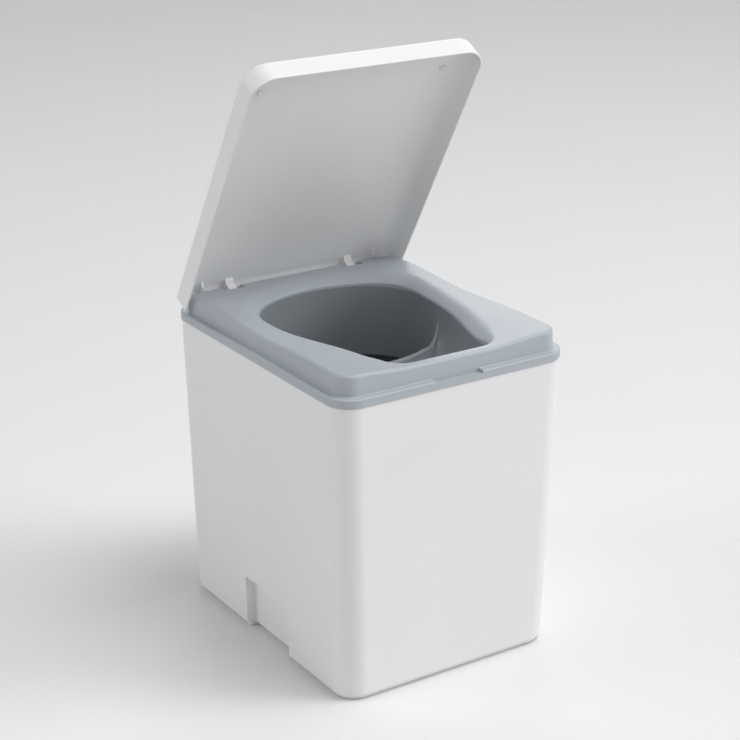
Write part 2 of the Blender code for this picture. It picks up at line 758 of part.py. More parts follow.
def lid(material, soft):
    hinge = bpy.data.objects.new("lid_hinge", None)
    bpy.context.scene.collection.objects.link(hinge)
    hinge.location = HINGE
    hinge.rotation_euler.x = -LID_OPEN_ANGLE

    rings = domed(0, LID_RIM_Z, LID_TOP_Z, LID_EDGE_RADIUS)
    item = place("lid", loft(local(rings)), material, hinge)
    rings = domed(LID_WALL, LID_RIM_Z - REACH, LID_INNER_Z, LID_EDGE_RADIUS - LID_WALL)
    cut(item, loft(local(rings)), "lid_inside", hinge)

    lip = NOSE_RADIUS + LID_BACK_GAP
    inner_x = FLANGE_HALF_WIDTH - LID_INSET - LID_WALL
    cut(item, box((-inner_x, 0, -REACH), (inner_x, REACH, lip)), "lid_rear", hinge)
    wide = FLANGE_HALF_WIDTH + REACH
    swing = HINGE_Z - LEDGE_Z - RUN
    heel = [(0, -swing), (0, -REACH), (REACH, -REACH), (REACH, 0), (swing, 0)]
    heel += arc((0, 0), swing, 0, -90, 8)[1:]
    cut(item, prism_x(heel, -wide, wide), "lid_heel", hinge)

    root = LID_INNER_Z - HINGE_Z + OVERLAP
    back = LID_OVERHANG - LID_WALL / 2
    low = NOSE_RADIUS + RUN
    toe = root - low - RIB_REACH
    rib = [(toe, low), (0, low), (back, lip), (back, root), (-RIB_REACH, root)]
    lug = arc((0, 0), LUG_RADIUS, -180, 0, 10)
    lug += [(LUG_RADIUS, 0), (back, lip), (back, root), (-LUG_ROOT, root), (-LUG_RADIUS, lip)]
    added = []
    bores = []
    for side, hand in ((-1, "left"), (1, "right")):
        edges = (side * LUG_X - LUG_WIDTH / 2, side * LUG_X + LUG_WIDTH / 2)
        added.append(prism_x(lug, *edges))
        bores.append(rod(PIN_DIAMETER / 2 + TOUCH, 0, 0, edges[0] - RUN, edges[1] + RUN))
        rib_x = side * RIB_X
        added.append(prism_x(rib, rib_x - RIB_WIDTH / 2, rib_x + RIB_WIDTH / 2))
        lid_bumper(side, hand, soft, hinge)
    join(item, gathered(added), "lugs_and_ribs", hinge)
    cut(item, gathered(bores), "lug_bores", hinge)


def lid_bumper(side, hand, material, hinge):
    """A small soft button on the lid's ceiling that lands on the seat's wing."""
    x = FLANGE_HALF_WIDTH - LID_INSET - BUMPER_SIDE
    centre = (side * x, LID_INSET - FLANGE_HALF_DEPTH + BUMPER_SETBACK)
    top = LID_INNER_Z - TOUCH
    low = seat_top(*centre) + LID_GAP
    rings = [
        level(circle(BUMPER_DIAMETER / 2 - BUMPER_CHAMFER, centre, SMALL_STEPS), low),
        level(circle(BUMPER_DIAMETER / 2, centre, SMALL_STEPS), low + BUMPER_CHAMFER),
        level(circle(BUMPER_DIAMETER / 2, centre, SMALL_STEPS), top),
    ]
    place(f"lid_bumper_{hand}", loft(local(rings)), material, hinge)


def container_half_width():
    """Half width of both containers: they pass the walls of the hand grips on their way out."""
    narrowest = min(BODY_BOTTOM_WIDTH, BODY_TOP_WIDTH)
    return narrowest / 2 - GRIP_DEPTH - BODY_WALL - CONTAINER_GAP


def container_back():
    """How far back the containers reach, clear of the narrower of the body's foot and rim."""
    shallowest = min(BODY_BOTTOM_DEPTH, BODY_TOP_DEPTH)
    return shallowest / 2 - BODY_WALL - FLOOR_CLEARANCE


def container_front():
    return -container_back()


def canister_shoulder_z():
    return SPOUT_Z + SPOUT_DIP - NECK_HEIGHT


def canister_form(inset, low, shoulder):
    half_width = container_half_width() - inset
    front = container_front() + inset
    back = container_front() + CANISTER_DEPTH - inset
    radius = CONTAINER_RADIUS - inset

    def outline(step, corner):
        return rounded(half_width - step, front + step, back - step, corner, corner)

    rings = [
        level(outline(CANISTER_HEEL, radius), low),
        level(outline(0, radius), low + CANISTER_HEEL),
        level(outline(0, radius), shoulder - CANISTER_SHOULDER),
        level(outline(CANISTER_SHOULDER, radius - CANISTER_SHOULDER / 2), shoulder),
    ]
    return loft(rings)


def handle(middle_x, y, base_z):
    """An arched bar along X, round in section."""
    rings = []
    foot = Vector((middle_x, y, base_z))
    across = Vector((0, 1, 0))
    section = circle(HANDLE_BAR / 2, steps=HANDLE_STEPS)
    for i in range(HANDLE_STEPS + 1):
        angle = math.pi * (1 - i / HANDLE_STEPS)
        centre = foot + Vector((HANDLE_SPAN / 2 * math.cos(angle), 0, HANDLE_RISE * math.sin(angle)))
        along = Vector((-HANDLE_SPAN / 2 * math.sin(angle), 0, HANDLE_RISE * math.cos(angle)))
        outward = across.cross(along.normalized())
        rings.append([tuple(centre + across * a + outward * b) for a, b in reversed(section)])
    return loft(rings)


def urine_canister(material, collar_material, rubber):
    low = FLOOR_Z + TOUCH
    shoulder = canister_shoulder_z()
    neck_top = shoulder + NECK_HEIGHT
    centre = (0, DRAIN_Y)
    item = place("urine_canister", canister_form(0, low, shoulder), material)
    join(item, disc(NECK_DIAMETER / 2, centre, shoulder - OVERLAP, neck_top), "neck")
    handle_x = (NECK_DIAMETER + HANDLE_SPAN) / 2 + COLLAR_WALL + RUN + HANDLE_BAR
    join(item, handle(handle_x, DRAIN_Y, shoulder - HANDLE_BAR / 2), "handle")
    hollow = canister_form(CONTAINER_WALL, low + CONTAINER_WALL, shoulder - CONTAINER_WALL)
    cut(item, hollow, "canister_inside")
    bore = disc(NECK_DIAMETER / 2 - CONTAINER_WALL, centre, shoulder - CANISTER_SHOULDER, neck_top + REACH)
    cut(item, bore, "neck_bore")

    seal_low = neck_top + TOUCH
    seal_top = seal_low + SEAL_HEIGHT
    hole = SPOUT_DIAMETER / 2 + TOUCH
    ring = tube(circle(NECK_DIAMETER / 2, centre), circle(hole, centre), seal_low, seal_top)
    place("inlet_seal", ring, rubber)

    cap_low = seal_top + TOUCH
    cap_top = cap_low + COLLAR_WALL
    bore_radius = NECK_DIAMETER / 2 + TOUCH
    grip = ribbed(bore_radius + COLLAR_WALL, centre)
    count = len(grip)
    rings = [
        level(grip, cap_top - COLLAR_HEIGHT),
        level(grip, cap_top),
        level(circle(hole + RUN, centre, count), cap_top),
        level(circle(hole + RUN, centre, count), cap_low),
        level(circle(bore_radius, centre, count), cap_low),
        level(circle(bore_radius, centre, count), cap_top - COLLAR_HEIGHT),
    ]
    place("canister_collar", loft(rings, closed=True), collar_material)


def ribbed(radius, centre):
    """A circle with evenly spaced grip ribs."""
    points = []
    steps = COLLAR_RIBS * RIB_STEPS
    for i in range(steps):
        on_rib = i % RIB_STEPS < RIB_STEPS / 2
        reach = radius + COLLAR_RIB_HEIGHT * on_rib
        angle = 2 * math.pi * i / steps
        points.append((centre[0] + reach * math.cos(angle), centre[1] + reach * math.sin(angle)))
    return points


def bin_outline(share, inset):
    """The bin's outline, from its foot at 0 to its rim at 1, moved inwards."""
    flare = CONTAINER_DRAFT * (share - 1)
    half_width = container_half_width() + flare - inset
    front = container_front() + CANISTER_DEPTH + CONTAINER_GAP - flare + inset
    back = container_back() + flare - inset
    radius = CONTAINER_RADIUS - inset
    return rounded(half_width, front, back, radius, radius)


def solids_bin(material):
    low = FLOOR_Z + TOUCH
    rim_z = CHUTE_Z - BIN_HEADROOM
    rings = [
        level(bin_outline(0, BIN_RIM), low),
        level(bin_outline(1, BIN_RIM), rim_z - BIN_RIM_HEIGHT),
        level(bin_outline(1, 0), rim_z - BIN_RIM_HEIGHT),
        level(bin_outline(1, 0), rim_z),
    ]
    item = place("solids_bin", loft(rings), material)
    inside = [
        level(bin_outline(0, BIN_RIM + CONTAINER_WALL), low + CONTAINER_WALL),
        level(bin_outline(1, BIN_RIM + CONTAINER_WALL), rim_z + REACH),
    ]
    cut(item, loft(inside), "bin_inside")
    under = tube(
        bin_outline(1, CONTAINER_WALL),
        bin_outline(1, BIN_RIM - TOUCH),
        rim_z - BIN_RIM_HEIGHT - REACH,
        rim_z - CONTAINER_WALL,
    )
    cut(item, under, "bin_rim_under")


def main():
    clear_scene()
    white = finish("white_plastic", WHITE, 0.38)
    grey = finish("grey_plastic", GREY, 0.45)
    rubber = finish("black_rubber", DARK, 0.8)
    steel = finish("pin_steel", STEEL, 0.3, 1.0)
    cloudy = finish("cloudy_plastic", CLOUDY, 0.5)
    body_shell(white)
    base_plate(white, rubber)
    seat(grey, steel)
    separator_bowl(grey)
    bowl_screws(steel)
    lid(white, cloudy)
    urine_canister(cloudy, grey, rubber)
    solids_bin(grey)
    settle()


main()
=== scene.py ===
"""Portable camp toilet: moulded box, separating seat, hinged lid and two containers, in a pale studio."""

import json
import math

import bmesh
import bpy
from bpy.props import FloatProperty, FloatVectorProperty, PointerProperty
from mathutils import Euler, Matrix, Vector

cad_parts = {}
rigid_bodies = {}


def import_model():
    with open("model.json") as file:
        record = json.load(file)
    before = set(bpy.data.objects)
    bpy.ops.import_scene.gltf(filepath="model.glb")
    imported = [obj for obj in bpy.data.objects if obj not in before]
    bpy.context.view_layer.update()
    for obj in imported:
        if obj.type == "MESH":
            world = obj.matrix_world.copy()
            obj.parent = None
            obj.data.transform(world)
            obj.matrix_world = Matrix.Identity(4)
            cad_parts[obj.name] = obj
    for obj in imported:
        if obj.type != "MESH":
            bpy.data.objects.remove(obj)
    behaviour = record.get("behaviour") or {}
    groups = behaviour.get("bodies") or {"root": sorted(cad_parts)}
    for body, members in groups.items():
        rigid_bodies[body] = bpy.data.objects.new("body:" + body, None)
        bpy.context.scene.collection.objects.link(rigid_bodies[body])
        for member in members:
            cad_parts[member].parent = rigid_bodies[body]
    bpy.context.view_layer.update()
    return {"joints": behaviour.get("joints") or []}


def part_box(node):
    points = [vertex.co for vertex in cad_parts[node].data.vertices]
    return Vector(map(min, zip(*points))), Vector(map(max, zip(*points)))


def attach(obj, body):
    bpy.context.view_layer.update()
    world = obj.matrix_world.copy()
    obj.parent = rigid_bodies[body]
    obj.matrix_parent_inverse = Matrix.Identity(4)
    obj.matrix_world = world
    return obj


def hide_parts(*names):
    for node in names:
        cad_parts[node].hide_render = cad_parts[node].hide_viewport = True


bl_info = {
    "name": "Portable Camp Toilet",
    "version": (1, 0, 0),
    "blender": (4, 5, 0),
    "location": "View3D > Sidebar > Camp Toilet",
    "description": "Builds a boxed dry toilet with a separating bowl, a hinged lid and two containers",
    "category": "Add Mesh",
}

for startup in list(bpy.data.objects):
    bpy.data.objects.remove(startup)
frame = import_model()

BODY_LOW, BODY_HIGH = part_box("body_shell")
BASE_LOW, BASE_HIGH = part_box("base_plate")
SEAT_LOW, SEAT_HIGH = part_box("seat")
HINGE = Vector(next(joint["pos_m"] for joint in frame["joints"] if joint["name"] == "lid_swing"))
REST_ANGLE = math.radians(60)

TOUCH = 0.0003  # between pieces that rest on each other
OVERLAP = 0.0010  # how far shapes joined into one piece reach into each other
REACH = 0.0200  # how far a cutter runs past the face it opens
CREASE = math.radians(35)
SAME_PLACE = 1e-7  # corners nearer than this are one
ON_SKIN = 2e-5  # corners nearer to the box's skin than this lie on it

# Steps along a half end, a corner and a side of an outline, and round a circle
FINE = (10, 16, 26)
SHELL = (4, 14, 8)
ROUND = 48

SIDES = (-1, 1)
HANDS = ("left", "right")
ENDS = ("front", "rear")
SCREWS = [f"bowl_screw_{end}_{hand}" for end in ENDS for hand in HANDS]

# Sizes, shares and counts that have no setting of their own
FLANGE_FOOT = 0.0006  # rounding under the seat's flange
LOCATOR_GAP = 0.0010  # between the box's wall and the seat's lip inside it
LOCATOR_WALL = 0.0020
BOSS_RADIUS = 0.0045
BOSS_ROOT = 1.6  # how deep under the seat's top a boss ends, in walls
SCREW_RADIUS = 0.0020
SCREW_NECK = 0.80  # share of the screw's radius
SCREW_POINT = 0.25  # the same at its tip
SCREW_TIP = 0.0012
HEAD_RADIUS = 0.0040
HEAD_HEIGHT = 0.0025
HEAD_CROWN = 0.0015
HEAD_FLAT = 0.72  # share of the head's radius
THREAD_PITCH = 0.0011
THREAD_ROOT = 0.78  # share of the screw's radius
THREAD_CREST = (0.45, 0.55)  # shares of the pitch between which it is full
THREAD_START = 0.0005
THREAD_MARGIN = 0.0020  # about how much of the shank has no thread
CROSS_REACH = 0.0022
CROSS_HALF = 0.0004
CROSS_DEPTH = 0.0012
PIN_CHAMFER = 0.0006
NOTCH_CORNER = 0.0012
POCKET_CORNER = 0.0015
BASE_EDGE = 0.0010
PAD_EDGE = 0.0006
PAD_GROOVE = 0.0004
PAD_GROOVES = (0.5, 0.7)  # where they start, as shares of the pad's radius
SPOUT_EDGE = 0.0008
BUTTON_DOME = 0.0014
BUTTON_FOOT = 0.0010
BUTTON_FLARE = 0.0004
NECK_EDGE = 0.0008
SEAL_EDGE = 0.0006
COLLAR_RIBS = 18
POINTS_PER_RIB = 8
COLLAR_EDGE = 0.0006
COLLAR_SHOULDER = 0.0010
RIB_FOOT = 0.0020  # plain band under the collar's ribs
RIB_HEAD = 0.0018  # plain band over them
RIB_RUNOUT = 0.0012
BIN_HEEL = 0.0050
GRAIN_DEPTH = 0.0003
RUB_AMOUNT = 0.35

# The camera that was fitted to the photograph's straight edges
CAMERA_PLACE = (-1.2647, -1.9510, 1.2342)
CAMERA_TURN = math.radians(-33.1)
CAMERA_TILT = math.radians(20.831)  # how far it looks down
SENSOR_WIDTH = 36

# Where the lamps shine from, seen from the middle of the toilet
LAMP_TARGET = Vector((0.0, 0.0, 0.35))
KEY_WAY = (1.25, -1.4, 5.15)
KEY_SIZE = 3.4
RIM_WAY = (3.2, 4.9, 2.5)
FILL_WAY = (3.0, -2.1, 1.85)
SIDE_WAY = (-3.2, 1.5, 1.75)
LAMP_SPREAD = math.radians(28)
# The floor's seen tone is painted darker along this way: a painted fall-off of light.
FAR_WAY = (0.18, 0.98, 0.0)  # where the floor's tone falls off
FADE_START, FADE_END = 0.2, 4.6


# Settings


def length(name, description, default):
    return FloatProperty(name=name, description=description, default=default, min=0, soft_max=1,
                         unit="LENGTH", subtype="DISTANCE", precision=4, step=0.1)


def offset(name, description, default):
    return FloatProperty(name=name, description=description, default=default, soft_min=-1, soft_max=1,
                         unit="LENGTH", subtype="DISTANCE", precision=4, step=0.1)


def share(name, description, default):
    return FloatProperty(name=name, description=description, default=default, min=0, max=1, subtype="FACTOR")


def colour(name, description, default):
    return FloatVectorProperty(name=name, description=description, default=default, size=3, min=0, max=1,
                               subtype="COLOR")


def power(name, description, default):
    return FloatProperty(name=name, description=description, default=default, min=0, unit="POWER")


def strength(name, description, default):
    return FloatProperty(name=name, description=description, default=default, min=0)


class CAMPTOILET_PG_box(bpy.types.PropertyGroup):
    """The tapered outer box and the hand grips low in its sides."""

    top_width: length("Top Width", "Across the box at its rim", BODY_HIGH.x - BODY_LOW.x)
    top_depth: length("Top Depth", "Front to back at the rim", BODY_HIGH.y - BODY_LOW.y)
    base_inset: length("Base Inset", "How far the base under the box stands back", 0.0050)
    corner_radius: length("Corner Radius", "Upright corners of the box", 0.032)
    wall: length("Wall", "Thickness of the box", 0.003)
    edge_radius: length("Edge Radius", "Rounding of the bottom edge", 0.002)
    floor_fillet: length("Floor Fillet", "Rounding between the walls and the floor inside", 0.006)
    grip_width: length("Grip Width", "Opening of a hand grip", 0.108)
    grip_height: length("Grip Height", "Height of a hand grip above the bottom edge", 0.070)
    grip_depth: length("Grip Depth", "How deep a hand grip goes", 0.012)
    grip_centre: offset("Grip Centre", "Middle of the grip, from the middle of the box", -0.010)
    grip_front_radius: length("Grip Front Radius", "Upper front corner of the grip", 0.014)
    grip_rear_radius: length("Grip Rear Radius", "Upper rear corner of the grip", 0.003)
    grip_edge: length("Grip Edge", "Rounding of the grip's mouth", 0.0014)


class CAMPTOILET_PG_seat(bpy.types.PropertyGroup):
    """The flange on the rim, the raised saddle and the notch for the fingers."""

    flange_height: length("Flange Height", "Band that rests on the box", 0.0113)
    flange_edge: length("Flange Edge", "Rounding of the band's top edge", 0.0020)
    ledge: length("Ledge", "Flat ledge that the lid closes on", 0.0092)
    back_ledge: length("Back Ledge", "Ledge behind the hinge", 0.0182)
    height: length("Height", "Saddle above the ledge", 0.0220)
    wall: length("Wall", "Thickness of the moulding", 0.0028)
    draft: length("Draft", "Lean of the saddle's sides", 0.0010)
    foot_fillet: length("Foot Fillet", "Rounding where the saddle meets the ledge", 0.0012)
    edge_radius: length("Edge Radius", "Rounding of the saddle's edge", 0.0050)
    nose_radius: length("Nose Radius", "Rounding of the saddle's back edge at the hinge", 0.0080)
    back_radius: length("Back Radius", "Rear corners of the saddle", 0.0140)
    wing_rise: length("Wing Rise", "How far the corners lift above the middle", 0.0045)
    wing_start: length("Wing Start", "Where the lift begins, from the middle line", 0.060)
    wing_full: length("Wing Full", "Where the lift is complete, from the middle line", 0.135)
    saddle_middle: offset("Saddle Middle", "Lowest place of the saddle, front to back", 0.005)
    saddle_reach: length("Saddle Reach", "Distance over which the corners lift", 0.130)
    notch_width: length("Notch Width", "Finger notch in the front of the band", 0.070)
    notch_depth: length("Notch Depth", "Depth of the finger notch", 0.0036)
    pocket_width: length("Pocket Width", "Pocket for a lid lug", 0.030)
    pocket_front: length("Pocket Front", "Pocket in front of the hinge line", 0.011)
    pocket_depth: length("Pocket Depth", "Pocket under the hinge line", 0.010)


class CAMPTOILET_PG_throat(bpy.types.PropertyGroup):
    """The egg-shaped opening and its rolled edge."""

    front_rim: length("Front Rim", "Saddle left in front of the opening", 0.0200)
    side_rim: length("Side Rim", "Saddle left beside the opening", 0.0455)
    back_deck: length("Back Deck", "Saddle left behind the opening", 0.0520)
    front_width: length("Front Width", "Width of the opening's front end", 0.148)
    corner: length("Corner", "Rounding of the front corners", 0.026)
    lean: length("Lean", "How far the sides open out at first", 0.0087)
    lean_length: length("Lean Length", "Length of that first stretch", 0.062)
    back_length: length("Back Length", "From the widest place to the back", 0.0839)
    roll_front: length("Front Roll", "Width of the rolled edge in front", 0.0090)
    roll_side: length("Side Roll", "Width of the rolled edge beside", 0.0220)
    roll_back: length("Back Roll", "Width of the slope at the back", 0.0300)
    drop_front: length("Front Drop", "Depth of the rolled edge in front", 0.0060)
    drop_side: length("Side Drop", "Depth of the rolled edge beside", 0.0105)
    drop_back: length("Back Drop", "Depth of the slope at the back", 0.0085)
    edge_radius: length("Edge Radius", "Rounding where the rolled edge turns into the throat", 0.0016)
    lip_depth: length("Lip Depth", "Where the seat ends and the bowl begins", 0.0128)


class CAMPTOILET_PG_bowl(bpy.types.PropertyGroup):
    """The separating bowl: a funnel in front, an open chute behind and a crest between them."""

    wall: length("Wall", "Thickness of the bowl", 0.0025)
    flange: length("Flange", "Rim that is screwed under the seat", 0.026)
    front_flange: length("Front Flange", "Rim at the front", 0.010)
    taper: share("Taper", "How much the walls close in with depth", 0.10)
    crest_depth: length("Crest Depth", "Crest below the bowl's rim", 0.042)
    crest_setback: length("Crest Setback", "Crest behind the front of the opening", 0.1299)
    crest_bow: length("Crest Bow", "How far the crest bulges forward", 0.0475)
    crest_radius: length("Crest Radius", "Rounding of the crest", 0.0050)
    crest_rise: length("Crest Rise", "How far the crest climbs at the side walls", 0.0100)
    wall_dip: length("Wall Dip", "Length of side wall over which the funnel meets the crest", 0.0600)
    chute_depth: length("Chute Depth", "Lower end of the chute below the rim", 0.095)
    funnel_depth: length("Funnel Depth", "Drain below the crest", 0.044)
    drain_setback: length("Drain Setback", "Drain behind the front of the opening", 0.0679)
    spout_diameter: length("Spout Diameter", "Pipe under the drain", 0.030)
    spout_length: length("Spout Length", "Length of that pipe", 0.060)


class CAMPTOILET_PG_lid(bpy.types.PropertyGroup):
    """The lid, its lugs and its ribs."""

    height: length("Height", "From rim to top", 0.0315)
    wall: length("Wall", "Thickness of the lid", 0.0025)
    inset: length("Inset", "How far the lid stands back from the flange", 0.0010)
    gap: length("Gap", "Between the closed lid and the ledge", 0.0005)
    edge_radius: length("Edge Radius", "Rounding of the top edge", 0.0070)
    inner_radius: length("Inner Radius", "Rounding between ceiling and sides", 0.0105)
    back_radius: length("Back Radius", "Rear corners", 0.0050)
    overhang: length("Overhang", "How far the lid reaches behind its hinge", 0.0080)
    back_gap: length("Back Gap", "Room round the saddle's back edge", 0.0025)
    lug_place: length("Lug Place", "Lugs from the middle line", 0.0935)
    lug_width: length("Lug Width", "Width of a lug", 0.012)
    lug_radius: length("Lug Radius", "Round end of a lug", 0.0062)
    lug_root: length("Lug Root", "Length of a lug on the lid", 0.012)
    rib_place: length("Rib Place", "Ribs from the middle line", 0.135)
    rib_width: length("Rib Width", "Thickness of a rib", 0.0025)
    rib_reach: length("Rib Reach", "Length of a rib on the lid", 0.016)
    pin_diameter: length("Pin Diameter", "Hinge pins", 0.0050)
    button_diameter: length("Button Diameter", "Soft buttons that meet the seat", 0.009)
    button_side: length("Button Side", "Buttons from the lid's side", 0.0355)
    button_setback: length("Button Setback", "Buttons from the lid's front", 0.0490)


class CAMPTOILET_PG_containers(bpy.types.PropertyGroup):
    """The canister with its collar, and the bin behind it."""

    wall: length("Wall", "Thickness of both containers", 0.0025)
    radius: length("Radius", "Upright corners", 0.024)
    heel: length("Heel", "Bevel round the canister's foot", 0.007)
    shoulder: length("Shoulder", "Slope round the canister's top", 0.014)
    neck_diameter: length("Neck Diameter", "Neck of the canister", 0.056)
    neck_height: length("Neck Height", "Neck above the shoulder", 0.030)
    collar_wall: length("Collar Wall", "Thickness of the collar", 0.0035)
    rib_height: length("Rib Height", "Grip ribs round the collar", 0.0008)
    handle_span: length("Handle Span", "Length of the carrying handle", 0.078)
    handle_rise: length("Handle Rise", "Height of the carrying handle", 0.036)
    handle_bar: length("Handle Bar", "Thickness of the carrying handle", 0.014)
    bin_draft: length("Bin Draft", "How much the bin narrows to its foot", 0.006)
    bin_rim: length("Bin Rim", "Width of the bin's turned rim", 0.007)
    bin_rim_height: length("Bin Rim Height", "Height of that rim", 0.010)


class CAMPTOILET_PG_finishes(bpy.types.PropertyGroup):
    """Colours and gloss of the five materials."""

    white: colour("White Plastic", "Box, base and lid", (0.84, 0.84, 0.84))
    grey: colour("Grey Plastic", "Seat, bowl, collar and bin", (0.425, 0.465, 0.505))
    # The bowl's colour is the seat's grey made darker: painted shade for the bowl's inside.
    bowl: colour("Bowl Grey With Painted Shade", "Bowl, the seat's grey darkened as painted shade", (0.243, 0.266, 0.29))
    rubber: colour("Black Rubber", "Feet and seal", (0.035, 0.035, 0.038))
    steel: colour("Pin Steel", "Pins and screws", (0.58, 0.58, 0.60))
    cloudy: colour("Cloudy Plastic", "Canister and lid buttons", (0.77, 0.78, 0.78))
    white_roughness: share("White Roughness", "Gloss of the white plastic", 0.42)
    grey_roughness: share("Grey Roughness", "Gloss of the grey plastic", 0.42)


class CAMPTOILET_PG_stage(bpy.types.PropertyGroup):
    """Floor, lamps and camera."""

    floor: colour("Floor", "Floor as it throws light back", (0.70, 0.70, 0.70))
    near_floor: colour("Near Floor", "Floor round the toilet, as it is seen", (0.86, 0.86, 0.863))
    # The far floor's seen tone is darker than the near one: painted fall-off of light towards the back.
    far_floor: colour("Far Floor", "Floor far behind, as it is seen", (0.72, 0.72, 0.723))
    floor_radius: length("Floor Radius", "Size of the floor", 14.0)
    horizon: share("Horizon", "Light of the sky low all round", 0.80)
    zenith: share("Zenith", "Light of the sky overhead", 0.10)
    key: power("Key", "Soft lamp high in front on the right", 138.0)
    rim: strength("Rim", "Broad light from behind on the right", 0.36)
    fill: strength("Fill", "Broad light from in front on the right", 1.14)
    side: strength("Side", "Broad light from behind on the left", 0.45)
    lens: FloatProperty(name="Lens", description="Focal length", default=93.08, min=1, unit="CAMERA")


class CAMPTOILET_PG_toilet(bpy.types.PropertyGroup):
    """All settings of the camp toilet."""

    box: PointerProperty(type=CAMPTOILET_PG_box, name="Box", description="Sizes of the box")
    seat: PointerProperty(type=CAMPTOILET_PG_seat, name="Seat", description="Sizes of the seat")
    throat: PointerProperty(type=CAMPTOILET_PG_throat, name="Throat", description="Sizes of the opening")
    bowl: PointerProperty(type=CAMPTOILET_PG_bowl, name="Bowl", description="Sizes of the bowl")
    lid: PointerProperty(type=CAMPTOILET_PG_lid, name="Lid", description="Sizes of the lid")
    containers: PointerProperty(type=CAMPTOILET_PG_containers, name="Containers", description="Their sizes")
    finishes: PointerProperty(type=CAMPTOILET_PG_finishes, name="Finishes", description="Colours and gloss")
    stage: PointerProperty(type=CAMPTOILET_PG_stage, name="Stage", description="Floor, lamps and camera")


# Shapes


def between(start, end, part):
    return start + (end - start) * part


def ease(value, start, end):
    """Smooth step from 0 at start to 1 at end."""
    part = min(max((value - start) / (end - start), 0), 1)
    return part * part * (3 - 2 * part)


def quarter(steps):
    """Angles from nothing to a right angle."""
    return [math.pi / 2 * i / steps for i in range(steps + 1)]


def fillet(radius, steps):
    """Pairs of steps that round off a corner, from (radius, 0) to (0, radius)."""
    return [(radius * (1 - math.sin(angle)), radius * (1 - math.cos(angle))) for angle in quarter(steps)]


def level(outline, z):
    return [(x, y, z) for x, y in outline]


def circle(radius, centre=(0, 0), steps=ROUND):
    turns = [2 * math.pi * i / steps for i in range(steps)]
    return [(centre[0] + radius * math.cos(a), centre[1] + radius * math.sin(a)) for a in turns]


def arc(centre, radius, start, end, steps):
    """Points of an arc in degrees, without its last one."""
    angles = [math.radians(between(start, end, i / steps)) for i in range(steps)]
    return [(centre[0] + radius * math.cos(a), centre[1] + radius * math.sin(a)) for a in angles]


def mirrored(half):
    """A closed outline from its right half, which runs from the front middle to the back middle."""
    return half + [(-x, y) for x, y in reversed(half[1:-1])]


def rounded(half_width, front, back, front_radius, back_radius, steps=SHELL):
    """A rectangle with rounded corners, seen from above."""
    ends, corners, sides = steps
    front_x = half_width - front_radius
    back_x = half_width - back_radius
    low_y = front + front_radius
    high_y = back - back_radius
    half = [(between(0, front_x, i / ends), front) for i in range(ends)]
    half += arc((front_x, low_y), front_radius, -90, 0, corners)
    half += [(half_width, between(low_y, high_y, i / sides)) for i in range(sides)]
    half += arc((back_x, high_y), back_radius, 0, 90, corners)
    half += [(between(back_x, 0, i / ends), back) for i in range(ends + 1)]
    return mirrored(half)


def trough(middle, half, low, high, radius):
    """Outline of a slot from low to high, with its two corners at the low end rounded."""
    left, right = middle - half, middle + half
    points = [(right, high), (left, high), (left, low + radius)]
    points += arc((left + radius, low + radius), radius, 180, 270, 5)[1:]
    points += [(left + radius, low), (right - radius, low)]
    points += arc((right - radius, low + radius), radius, 270, 360, 5)[1:]
    return points + [(right, low + radius)]


def bezier(points, part):
    while len(points) > 1:
        points = [a.lerp(b, part) for a, b in zip(points, points[1:])]
    return tuple(points[0])


def normals(outline):
    """Outward directions at the points of a counter-clockwise outline."""
    found = []
    for i in range(len(outline)):
        before = Vector(outline[i - 1])
        after = Vector(outline[(i + 1) % len(outline)])
        along = (after - before).normalized()
        found.append(Vector((along.y, -along.x)))
    return found


def grown(outline, amount):
    """The outline moved outwards by one amount, or by one for each point."""
    amounts = amount if isinstance(amount, list) else [amount] * len(outline)
    moved = zip(outline, normals(outline), amounts)
    return [tuple(Vector(point) + normal * by) for point, normal, by in moved]


def as_mesh(shape):
    mesh = bpy.data.meshes.new("shape")
    shape.to_mesh(mesh)
    shape.free()
    return mesh


def skin(shape, rings, closed=False):
    """Adds the quads between rings of points to a shape and returns the first and last ring's corners."""
    loops = [[shape.verts.new(point) for point in ring] for ring in rings]
    pairs = list(zip(loops, loops[1:]))
    if closed:
        pairs.append((loops[-1], loops[0]))
    count = len(loops[0])
    for low, high in pairs:
        for i in range(count):
            j = (i + 1) % count
            shape.faces.new((low[i], low[j], high[j], high[i]))
    return loops[0], loops[-1]


def loft(rings, closed=False):
    """Quads between rings of points; the ends are capped, or joined to each other when closed."""
    shape = bmesh.new()
    first, last = skin(shape, rings, closed)
    if not closed:
        shape.faces.new(first[::-1])
        shape.faces.new(last)
    if shape.calc_volume(signed=True) < 0:
        bmesh.ops.reverse_faces(shape, faces=shape.faces)
    return as_mesh(shape)


def gathered(meshes):
    """Several shapes as one mesh."""
    shape = bmesh.new()
    for mesh in meshes:
        shape.from_mesh(mesh)
        bpy.data.meshes.remove(mesh)
    return as_mesh(shape)


def tube(outer, inner, low, high):
    """A ring with a flat top and bottom between two outlines."""
    return loft([level(outer, low), level(outer, high), level(inner, high), level(inner, low)], closed=True)


def disc(radius, centre, low, high):
    outline = circle(radius, centre)
    return loft([level(outline, low), level(outline, high)])


def turned(profile, centre, steps=ROUND):
    """A solid of revolution about an upright axis, from (radius, z) points running up its outside."""
    return loft([level(circle(radius, centre, steps), z) for radius, z in profile])


def rod(radius, y, z, start, end, chamfer=0):
    """A round bar along X."""
    spots = [(start, radius), (end, radius)]
    if chamfer:
        spots = [(start, radius - chamfer), (start + chamfer, radius)]
        spots += [(end - chamfer, radius), (end, radius - chamfer)]
    return loft([[(x, a, b) for a, b in circle(reach, (y, z), ROUND // 2)] for x, reach in spots])


def block(low, high):
    (x0, y0, z0), (x1, y1, z1) = low, high
    outline = [(x0, y0), (x1, y0), (x1, y1), (x0, y1)]
    return loft([level(outline, z0), level(outline, z1)])


def prism_x(profile, start, end):
    """A profile of (y, z) points, counter-clockwise seen from +X, drawn along X."""
    return loft([[(x, y, z) for y, z in profile] for x in (start, end)])


